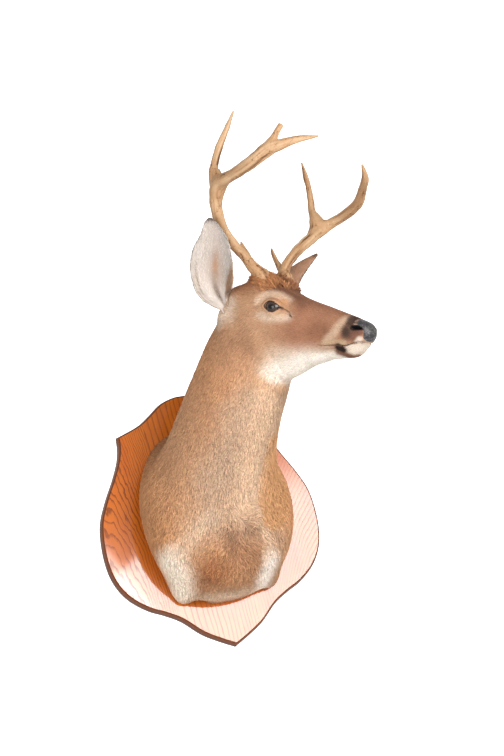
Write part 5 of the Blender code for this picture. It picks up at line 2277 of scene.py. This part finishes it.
    def build(self, skin: Material, hair: Material, rng: Random) -> None:
        """Make the ear and its hair.

        Args:
            skin: finish of the ear itself.
            hair: finish of its hair.
            rng: the random draws.
        """
        name = "ear_shell_" + self.word
        tone = self._tones()
        mesh = self.sheet.mesh(name)
        paint(mesh, Channel.TONE, tone)
        s = np.broadcast_to(self.share[:, None], self.edge.shape)
        lie = np.stack((self.turned * 0.04, s * 0.17, self.inner * 0.03), axis=-1)
        paint(mesh, Channel.SHAPE, lie)
        add_piece(name, mesh, skin, ("ear_" + self.word,))
        for place, of_back, count in (("back", True, self.back_tufts), ("inner", False, self.inner_tufts)):
            tufts = Tufts(self.sheet, self._groom(of_back, tone), rings=2)
            full = f"ear_hair_{place}_{self.word}"
            add_piece(full, tufts.grow(full, count, (0, self.rows - 1), rng), hair)


# --- antlers
@dataclass(frozen=True)
class Tine:
    """A stem of an antler: its route in the head's frame and its radii, in millimetres."""

    points: tuple[Triple, ...]
    radii: tuple[float, ...]


RIGHT_ANTLER = (
    Tine(
        (
            (-34, -30, 46), (-44, -36, 65), (-56, -47, 80), (-67, -59, 100), (-73, -83, 119),
            (-75, -111, 144), (-70, -133, 172), (-62, -146, 200), (-48, -154, 220), (-13, -159, 229),
            (33, -161, 245), (65, -147, 270), (79, -131, 278), (98, -110, 289), (119, -72, 300),
        ),
        (13.5, 14, 11.8, 10, 9.7, 10.6, 11.9, 13, 12.8, 11.2, 11.8, 13.8, 9.6, 6.7, 2.4),
    ),
    Tine(((-60, -50, 88), (-70, -48, 104), (-83, -46, 121), (-88, -46, 132)), (8, 6.6, 4.2, 1.6)),
    Tine(
        ((-60, -146, 205), (-66, -150, 245), (-62, -142, 288), (-54, -129, 329), (-52, -114, 365)),
        (12.4, 8.4, 7, 5.6, 1.6),
    ),
    Tine(((64, -148, 272), (71, -142, 288), (76, -138, 301), (82, -134, 314)), (11, 7, 5.4, 5.2)),
    Tine(((-36, -155, 224), (-52, -150, 229), (-62, -149, 246)), (10.8, 10.8, 8.6)),
    Tine(((-63, -140, 196), (-49, -147, 214), (-30, -154, 224)), (9.8, 10.8, 9)),
)
LEFT_ANTLER = (
    Tine(
        (
            (-34, 30, 46), (-42, 31, 66), (-47, 35, 81), (-44, 46, 102), (-46, 78, 130), (-48, 115, 156),
            (-50, 138, 170), (-44, 152, 181), (-28, 160, 193), (1, 162, 206), (42, 150, 223),
            (72, 124, 243), (97, 98, 258), (109, 72, 276),
        ),
        (13.5, 14.2, 10.8, 10.4, 11, 11.6, 11.8, 11.2, 10.8, 10.8, 10.8, 9, 7, 2.2),
    ),
    Tine(((-52, 36, 80), (-69, 39, 101), (-83, 43, 119), (-89, 45, 131)), (7.4, 5.3, 3.9, 1.8)),
    Tine(
        (
            (-51, 122, 162), (-56, 136, 178), (-62, 144, 195), (-67, 147, 209), (-72, 147, 223),
            (-73, 138, 261), (-73, 125, 289), (-73, 113, 313),
        ),
        (10, 10.4, 10.4, 9, 7.6, 6.4, 5.2, 1.8),
    ),
    Tine(((-45, 150, 179), (-51, 150, 190), (-58, 148, 200), (-65, 147, 212)), (11.2, 11, 9.8, 8)),
    Tine(((-34, 156, 188), (-50, 148, 190), (-60, 146, 200)), (10.6, 10.6, 9)),
)


@dataclass
class Antler:
    """One antler, grown together from its beam and tines, grooved along its length.

    Attributes:
        side: -1 for the right antler and 1 for the left one.
        step, sides, voxel: how finely the stems are sampled, and then melted together.
        groove, pearl, burr: how deep the grooves are, and how high the pearls and the burr's knobs.
        groove_width, pearl_width, streak_width: how wide grooves, pearls and fine streaks are.
        burr_at, burr_width: where the burr stands along the beam, and how wide it is.
        fork: length that counts as walked where a tine leaves the beam.
        sideways: the direction along the wall that the vein's place is measured in.
        clearance: how far the antler stays inside the solids' box.
    """

    side: int
    step: float = 2.0 * MM
    sides: int = 28
    voxel: float = 1.25 * MM
    groove: float = 1.3 * MM
    pearl: float = 1.4 * MM
    burr: float = 2.8 * MM
    groove_width: float = 5.0 * MM
    pearl_width: float = 3.4 * MM
    streak_width: float = 2.4 * MM
    burr_at: float = 21.5 * MM
    burr_width: float = 5.5 * MM
    fork: float = 0.2
    sideways: Triple = (0.96, -0.27, 0.0)
    clearance: float = 0.05 * MM

    def __post_init__(self) -> None:
        """Name the antler and sample its stems."""
        self.word = side_name(self.side)
        self.stems = [self._stem(tine) for tine in (LEFT_ANTLER if self.side > 0 else RIGHT_ANTLER)]

    def _stem(self, tine: Tine) -> dict[str, Array]:
        """Sample one stem.

        Args:
            tine: the stem.

        Returns:
            Its route, radii, turning frame (across and up) and the length walked along it.
        """
        points = np.array(tine.points) * MM
        fine = np.linspace(0, len(points) - 1, 400)
        walked = walk(HEAD.to_world(smooth_through(points, fine)))
        marks = np.linspace(0.0, walked[-1], int(walked[-1] / self.step))
        places = np.interp(marks, walked, fine)
        route = HEAD.to_world(smooth_through(points, places))
        radii = smooth_through([(radius * MM,) for radius in tine.radii], places)[:, 0]
        ahead = unit(np.gradient(route, axis=0))
        first = unit(np.cross(ahead[0], (0.0, 0.0, 1.0)))
        frames = [first]
        for way in ahead[1:]:
            frames.append(unit(frames[-1] - way * (frames[-1] @ way)))
        across = np.array(frames)
        up = np.cross(ahead, across)
        return {"route": route, "radii": radii, "across": across, "up": up, "walked": marks}

    def _joined(self) -> Mesh:
        """All stems melted into one closed skin."""
        sheets = []
        x, y = (wave(full_turn(self.sides))[None, :, None] for wave in (np.cos, np.sin))
        for stem in self.stems:
            ring = x * stem["across"][:, None] + y * stem["up"][:, None]
            points = stem["route"][:, None] + ring * stem["radii"][:, None, None]
            sheets.append(Sheet(points).mesh("stem"))
        bm = bmesh.new()
        for mesh in sheets:
            bm.from_mesh(mesh)
            bpy.data.meshes.remove(mesh)
        bmesh.ops.recalc_face_normals(bm, faces=bm.faces)
        joined = bpy.data.meshes.new("stems")
        bm.to_mesh(joined)
        bm.free()
        holder = link("stems", joined)
        melt = holder.modifiers.new("melt", "REMESH")
        melt.mode = "VOXEL"
        melt.voxel_size = self.voxel
        soften = holder.modifiers.new("soften", "SMOOTH")
        soften.factor = 0.5
        soften.iterations = 9
        bpy.context.view_layer.update()
        graph = bpy.context.evaluated_depsgraph_get()
        mesh = bpy.data.meshes.new_from_object(holder.evaluated_get(graph))
        bpy.data.objects.remove(holder)
        return mesh

    @staticmethod
    def _vectors(mesh: Mesh, what: str) -> Array:
        """The places ("co") or directions ("normal") of a mesh's vertices."""
        values = np.empty(len(mesh.vertices) * 3, np.float32)
        mesh.vertices.foreach_get(what, values)
        return values.reshape(-1, 3).astype(float)

    def _measure(self, points: Array) -> dict[str, Array]:
        """Where each point lies on the stem that it is nearest to.

        Args:
            points: the antler's vertices.

        Returns:
            calm, 0 in the crotch of two stems and 1 away from it; local, the place across and along the
            stem; base, the length walked from the head; tip, its share of the stem; aside, how far the
            point lies to the side of the stem's middle, along the wall.
        """
        count = len(points)
        best, second = np.full(count, np.inf), np.full(count, np.inf)
        base, tip, aside, local = np.zeros(count), np.zeros(count), np.zeros(count), np.zeros((count, 3))
        for k, stem in enumerate(self.stems):
            for part in np.array_split(np.arange(count), max(1, count // 6000)):
                gaps = np.linalg.norm(points[part, None, :] - stem["route"][None], axis=2)
                near = gaps.argmin(axis=1)
                over = gaps[np.arange(len(part)), near] - stem["radii"][near]
                better = over < best[part]
                second[part] = np.minimum(second[part], np.where(better, best[part], over))
                chosen, at = part[better], near[better]
                best[chosen] = over[better]
                out = points[chosen] - stem["route"][at]
                x, y = ((out * stem[axis][at]).sum(1) for axis in ("across", "up"))
                aside[chosen] = out @ np.array(self.sideways)
                local[chosen] = np.stack((x, y, stem["walked"][at] * 0.075 + 0.05 * k), axis=1)
                base[chosen] = stem["walked"][at] + (self.fork if k else 0.0)
                tip[chosen] = stem["walked"][at] / stem["walked"][-1]
        calm = smoothstep(0.3 * MM, 6.0 * MM, second - best)
        return {"calm": calm, "local": local, "base": base, "tip": tip, "aside": aside}

    def build(self, finish: Material) -> None:
        """Make the antler with its grooves, pearls and stains.

        Args:
            finish: the antler's material.
        """
        mesh = self._joined()
        points, normals = self._vectors(mesh, "co"), self._vectors(mesh, "normal")
        where = self._measure(points)
        calm, local, base, tip, aside = (where[key] for key in ("calm", "local", "base", "tip", "aside"))
        ridge = NOISE.fractal(local + 0.5 * self.side, self.groove_width, 3) * calm
        fade = 1.0 - 0.75 * smoothstep(0.55, 0.98, tip)
        grooves = -self.groove * np.abs(np.minimum(ridge, 0.05)) * fade * 1.4
        pearls = np.maximum(NOISE.at(points, self.pearl_width), 0.0) ** 1.5 * smoothstep(0.16, 0.03, base)
        burr = bell(base, self.burr_at, self.burr_width)
        knobs = self.burr * burr * (0.4 + np.maximum(NOISE.at(points + 3.0, 4.2 * MM), -0.3))
        waver = 0.8 * MM * NOISE.at(points, 0.022) + 0.5 * MM * NOISE.at(points, 0.009)
        moved = points + normals * (grooves + self.pearl * pearls + knobs + waver)[:, None]
        moved = np.clip(moved, np.array(CAD_BOX[0]) + self.clearance, np.array(CAD_BOX[1]) - self.clearance)
        mesh.vertices.foreach_set("co", moved.astype(np.float32).ravel())
        mesh.update()
        mesh.shade_smooth()
        streaks = NOISE.fractal(local * (1.0, 1.0, 0.5) + 2.0, self.streak_width, 2) * calm
        height = np.clip(0.6 + 0.9 * ridge + 0.45 * streaks + 0.25 * pearls, 0.0, 1.0)
        worn = smoothstep(0.45, 1.0, tip)
        paint(mesh, Channel.SHAPE, np.stack((height, worn, np.zeros(len(points))), axis=1))
        front = smoothstep(0.0, 0.4, -normals @ np.array((0.26, 0.92, 0.28)))
        wander = 1.0 * MM + 3.0 * MM * NOISE.at(points, 0.016)
        vein = bell(points[:, 2], 0.494, 0.034) * bell(aside, wander, 2.0 * MM) * front
        vein = vein * np.clip(0.6 + 1.6 * streaks, 0.0, 1.0)
        paint(mesh, Channel.TONE, self._tones(points, base, vein))
        mesh.name = "antler_" + self.word
        mesh.materials.clear()
        nodes = sorted(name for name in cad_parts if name.startswith("antler_" + self.word))
        add_piece("antler_" + self.word, mesh, finish, nodes)

    def _tones(self, points: Array, base: Array, vein: Array) -> Array:
        """Stains: darker near the head, in patches past the fork and, on the right, along a vein.

        Args:
            points: the antler's vertices.
            base: length walked from the head.
            vein: the vein's share at each point.

        Returns:
            A colour that the bone's own is multiplied by.
        """
        low = smoothstep(0.14, 0.02, base)[:, None]
        cloud = NOISE.fractal(points, 0.05)[:, None]
        tone = 1.0 - low * np.array((0.16, 0.24, 0.32)) + 0.1 * cloud * np.array((1.0, 1.1, 1.3))
        patch = np.clip(0.5 + 1.2 * NOISE.fractal(points + 4.0, 0.022), 0.0, 1.0)
        if self.side > 0:
            dark, loss = smoothstep(0.2, 0.3, base), np.array((0.2, 0.29, 0.38))
        else:
            dark, loss = bell(base, 0.225, 0.05) * patch, np.array((0.14, 0.22, 0.3))
            tone = tone - vein[:, None] * np.array((0.42, 0.5, 0.56))
        return np.clip(tone - (dark * (0.65 + 0.35 * patch))[:, None] * loss, 0.2, 1.0)


# --- panel
@dataclass
class Panel:
    """The shield of oak with its moulded edge.

    Attributes:
        tip_to_shoulder, crown: the two runs of the outline's right half, in millimetres.
        edge_steps: the moulding's profile as insets and rises, in millimetres.
        side: height of the plain side below the moulding.
        half_width: half the panel's width, which the outline is held to.
        stain_at, stain: how dark the edge is, at insets: partly the oak's own darker stain and partly
            painted shade on the panel's side.
        face_step: width of the two narrow rings at the front face's edge.
        sharp_above: edges that turn by more degrees stay sharp.
        spacing, per_step: how finely the outline and the profile are sampled.
    """

    tip_to_shoulder: Outline = (
        (0, -265.3), (33, -247.8), (64, -228.3), (98, -197.3), (128, -179.3), (160, -163.3), (192, -137.8),
        (212.5, -108.3), (224, -73.3), (227.5, -26.3), (222, 23.7), (204, 67.7), (181.5, 109.7),
        (165.5, 144.7), (158.5, 171.7), (157, 195.7),
    )
    crown: Outline = (
        (157, 195.7), (110, 213.7), (83, 231.7), (54, 253.7), (24, 264), (0, 265.3),
    )
    edge_steps: Outline = (
        (0, 0), (0.7, 3), (1.3, 6.8), (2.4, 10.4), (3.8, 12.8), (5.4, 13.5),
    )
    side: float = 0.0085
    half_width: float = 0.2275
    stain_at: tuple[float, ...] = (0.0, 0.0006, 0.0014, 0.0036, 0.0044, 0.0052, 0.0056)
    stain: tuple[float, ...] = (0.55, 0.9, 0.5, 0.55, 1.0, 1.0, 0.0)
    face_step: float = 0.6 * MM
    sharp_above: float = 40.0
    spacing: float = 3.0 * MM
    per_step: int = 4

    def _run(self, points: Sequence[tuple[float, float]], inset: float, first: float, last: float) -> Array:
        """One run of the outline moved inward, shortened at the corners so that it never crosses itself.

        Args:
            points: the run's points in millimetres.
            inset: how far it moves in.
            first: how far it is shortened at its start, as a share of the inset.
            last: how far it is shortened at its end.

        Returns:
            Evenly spaced points in metres.
        """
        fine = smooth_through(np.array(points) * MM, np.linspace(0, len(points) - 1, 600))
        walked = walk(fine)
        marks = np.linspace(inset * first, walked[-1] - inset * last, int(walked[-1] / self.spacing))
        ahead = unit(np.gradient(fine, axis=0))
        at = np.stack([np.interp(marks, walked, fine[:, k]) for k in (0, 1)], axis=1)
        way = unit(np.stack([np.interp(marks, walked, ahead[:, k]) for k in (0, 1)], axis=1))
        return at + inset * np.stack((-way[:, 1], way[:, 0]), axis=1)

    def _ring(self, inset: float) -> Array:
        """The whole outline at one inset, once round from the tip."""
        lower = self._run(self.tip_to_shoulder, inset, 0.66, 0.72)
        upper = self._run(self.crown, inset, 0.72, 0.0)
        lower[0, 0] = 0.0
        upper[-1, 0] = 0.0
        lower[-1] = upper[0] = 0.5 * (lower[-1] + upper[0])
        half = np.concatenate((lower, upper[1:]))
        half[:, 0] = np.minimum(half[:, 0], self.half_width - inset)
        return np.concatenate((half, (half * (-1.0, 1.0))[1:-1][::-1]))

    def build(self, finish: Material) -> None:
        """Make the panel.

        Args:
            finish: the oak.
        """
        low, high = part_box("panel")
        places = np.linspace(0, len(self.edge_steps) - 1, 5 * self.per_step + 1)
        steps = smooth_through(np.array(self.edge_steps) * MM, places)
        scale = (high.y - low.y - self.side) / steps[-1, 1]
        levels = [(0.0, high.y), (0.0, high.y - self.side)]
        levels += [(max(inset, 0.0), high.y - self.side - rise * scale) for inset, rise in steps[1:]]
        edge = levels[-1][0]
        levels += [(edge + step * self.face_step, low.y) for step in (1, 2)]
        rows = []
        for inset, depth in levels:
            ring = self._ring(float(inset))
            rows.append(np.stack((ring[:, 0], np.full(len(ring), depth), ring[:, 1]), axis=1))
        sheet = Sheet(np.array(rows))
        mesh = sheet.mesh("shield")
        mesh.set_sharp_from_angle(angle=math.radians(self.sharp_above))
        insets = np.array([level[0] for level in levels])
        # how dark the edge is painted: partly stain, partly painted shade on the panel's side, darkest at
        # its back
        stain = np.interp(insets, self.stain_at, self.stain)
        stain[:1] = 1.0
        border = np.repeat(stain[:, None], sheet.shape[1], axis=1)
        paint(mesh, Channel.TONE, np.ones((border.size, 3)), border.ravel())
        add_piece("shield", mesh, finish, ("panel",))


# --- stage
@dataclass(frozen=True)
class Lamp:
    """A rectangular light that faces the panel's middle, turned round its own axis."""

    name: str
    at: Triple
    size: tuple[float, float]
    radiance: float
    roll: float

    def hang(self) -> None:
        """Put the light in the scene."""
        data = bpy.data.lights.new(self.name, "AREA")
        data.shape = "RECTANGLE"
        data.size, data.size_y = self.size
        data.energy = self.radiance * math.pi * self.size[0] * self.size[1]
        lamp = link(self.name, data)
        away = unit(np.array(self.at))
        side = np.array((math.cos(math.radians(self.roll)), 0.0, math.sin(math.radians(self.roll))))
        side = unit(side - away * (side @ away))
        face_along(lamp, self.at, side, np.cross(away, side), away)
        lamp.visible_camera = False


@dataclass
class Studio:
    """Pale floor, soft light and the camera.

    Attributes:
        azimuth, elevation, roll: the way the camera faces, in degrees.
        station, lens, sensor: where it stands, its focal length and its width, both in mm.
        floor_drop, floor_reach: how far the floor lies below the mount, and its radius.
        backdrop_at: the backdrop's middle.
        sky: strength of the even surround.
        lamps: the lights.
    """

    azimuth: float = 17.088
    elevation: float = 16.177
    roll: float = 12.916
    station: Triple = (-0.62902, -2.56742, -0.49303)
    lens: float = 61.905
    sensor: float = 36.0
    floor_drop: float = 1.0
    floor_reach: float = 1.5
    backdrop_at: Triple = (1.4, 4.0, 1.5)
    sky: float = 0.6
    lamps: tuple[Lamp, ...] = (
        Lamp("softbox", (0.88, -2.4, 0.1), (1.15, 1.05), 10.0, 26.0),
        Lamp("edge_glow", (0.138, -2.4, -0.11), (0.5, 1.15), 8.5, 26.0),
        Lamp("fill", (-1.35, -1.8, -0.15), (1.2, 1.2), 4.8, 0.0),
        Lamp("sparkle", (1.25, -1.9, 0.35), (0.16, 0.16), 60.0, 0.0),
    )

    def place_camera(self) -> None:
        """Set the camera by its azimuth, elevation and roll."""
        a, e, q = (math.radians(v) for v in (self.azimuth, self.elevation, self.roll))
        ahead = np.array((math.sin(a) * math.cos(e), math.cos(a) * math.cos(e), math.sin(e)))
        right = np.array((math.cos(a), -math.sin(a), 0.0))
        up = np.cross(right, ahead)
        rolled_right = math.cos(q) * right - math.sin(q) * up
        rolled_up = math.sin(q) * right + math.cos(q) * up
        data = bpy.data.cameras.new("camera")
        data.lens = self.lens
        data.sensor_width = self.sensor
        data.clip_end = 50.0
        camera = link("camera", data)
        face_along(camera, self.station, rolled_right, rolled_up, -ahead)
        bpy.context.scene.camera = camera

    def light(self) -> None:
        """A dim even surround and the lamps."""
        world = bpy.data.worlds.new("surround")
        world.use_nodes = True
        surround = world.node_tree.nodes["Background"].inputs
        surround["Color"].default_value = (1.0, 1.0, 1.0, 1.0)
        surround["Strength"].default_value = self.sky
        bpy.context.scene.world = world
        for lamp in self.lamps:
            lamp.hang()
        view = bpy.context.scene.view_settings
        view.view_transform = "Standard"
        view.look = "None"

    @staticmethod
    def _placed(name: str, bm: bmesh.types.BMesh, finish: Material) -> bpy.types.Object:
        """Turn a bmesh into an object of the scene.

        Args:
            name: the object's name.
            bm: its mesh, which is freed.
            finish: its material.

        Returns:
            The object.
        """
        mesh = bpy.data.meshes.new(name)
        bm.to_mesh(mesh)
        bm.free()
        mesh.materials.append(finish)
        return link(name, mesh)

    def hang_backdrop(self) -> None:
        """A white lit sheet far behind the mount."""
        bm = bmesh.new()
        bmesh.ops.create_grid(bm, x_segments=1, y_segments=1, size=4.0)
        sheet = self._placed("backdrop", bm, BackdropFinish().make())
        sheet.location = self.backdrop_at
        sheet.rotation_euler = (math.radians(90.0), 0.0, 0.0)

    def lay_floor(self) -> None:
        """A pale round floor below the mount."""
        level = CAD_BOX[0].z - self.floor_drop
        bm = bmesh.new()
        bmesh.ops.create_circle(bm, cap_ends=True, segments=96, radius=self.floor_reach)
        bmesh.ops.translate(bm, verts=bm.verts, vec=(0.0, -0.6, level))
        floor = self._placed("floor", bm, FloorFinish().make())

    def build(self) -> None:
        """Set up the whole stage."""
        self.lay_floor()
        self.hang_backdrop()
        self.light()
        self.place_camera()


def main() -> None:
    """Build every piece of the mount and its stage."""
    logging.basicConfig(level=logging.INFO, format="%(name)s %(message)s")
    rng = np.random.default_rng(5)
    Studio().build()
    Panel().build(OakFinish().make())
    body = Body()
    body.build(rng)
    NosePad(body).build()
    glass, lid = EyeFinish().make(), LidFinish().make()
    # the ear's hair carries the same painted shade towards its roots
    ear_skin, ear_hair = PeltFinish("ear_skin", 0.95, 0.22).make(), HairFinish("ear_hair", 0.85, 1.12).make()
    antler = AntlerFinish().make()
    for side in (-1, 1):
        Eye(side).build(glass, lid)
        Ear(side).build(ear_skin, ear_hair, rng)
        Antler(side).build(antler)


if __name__ == "__main__":
    main()
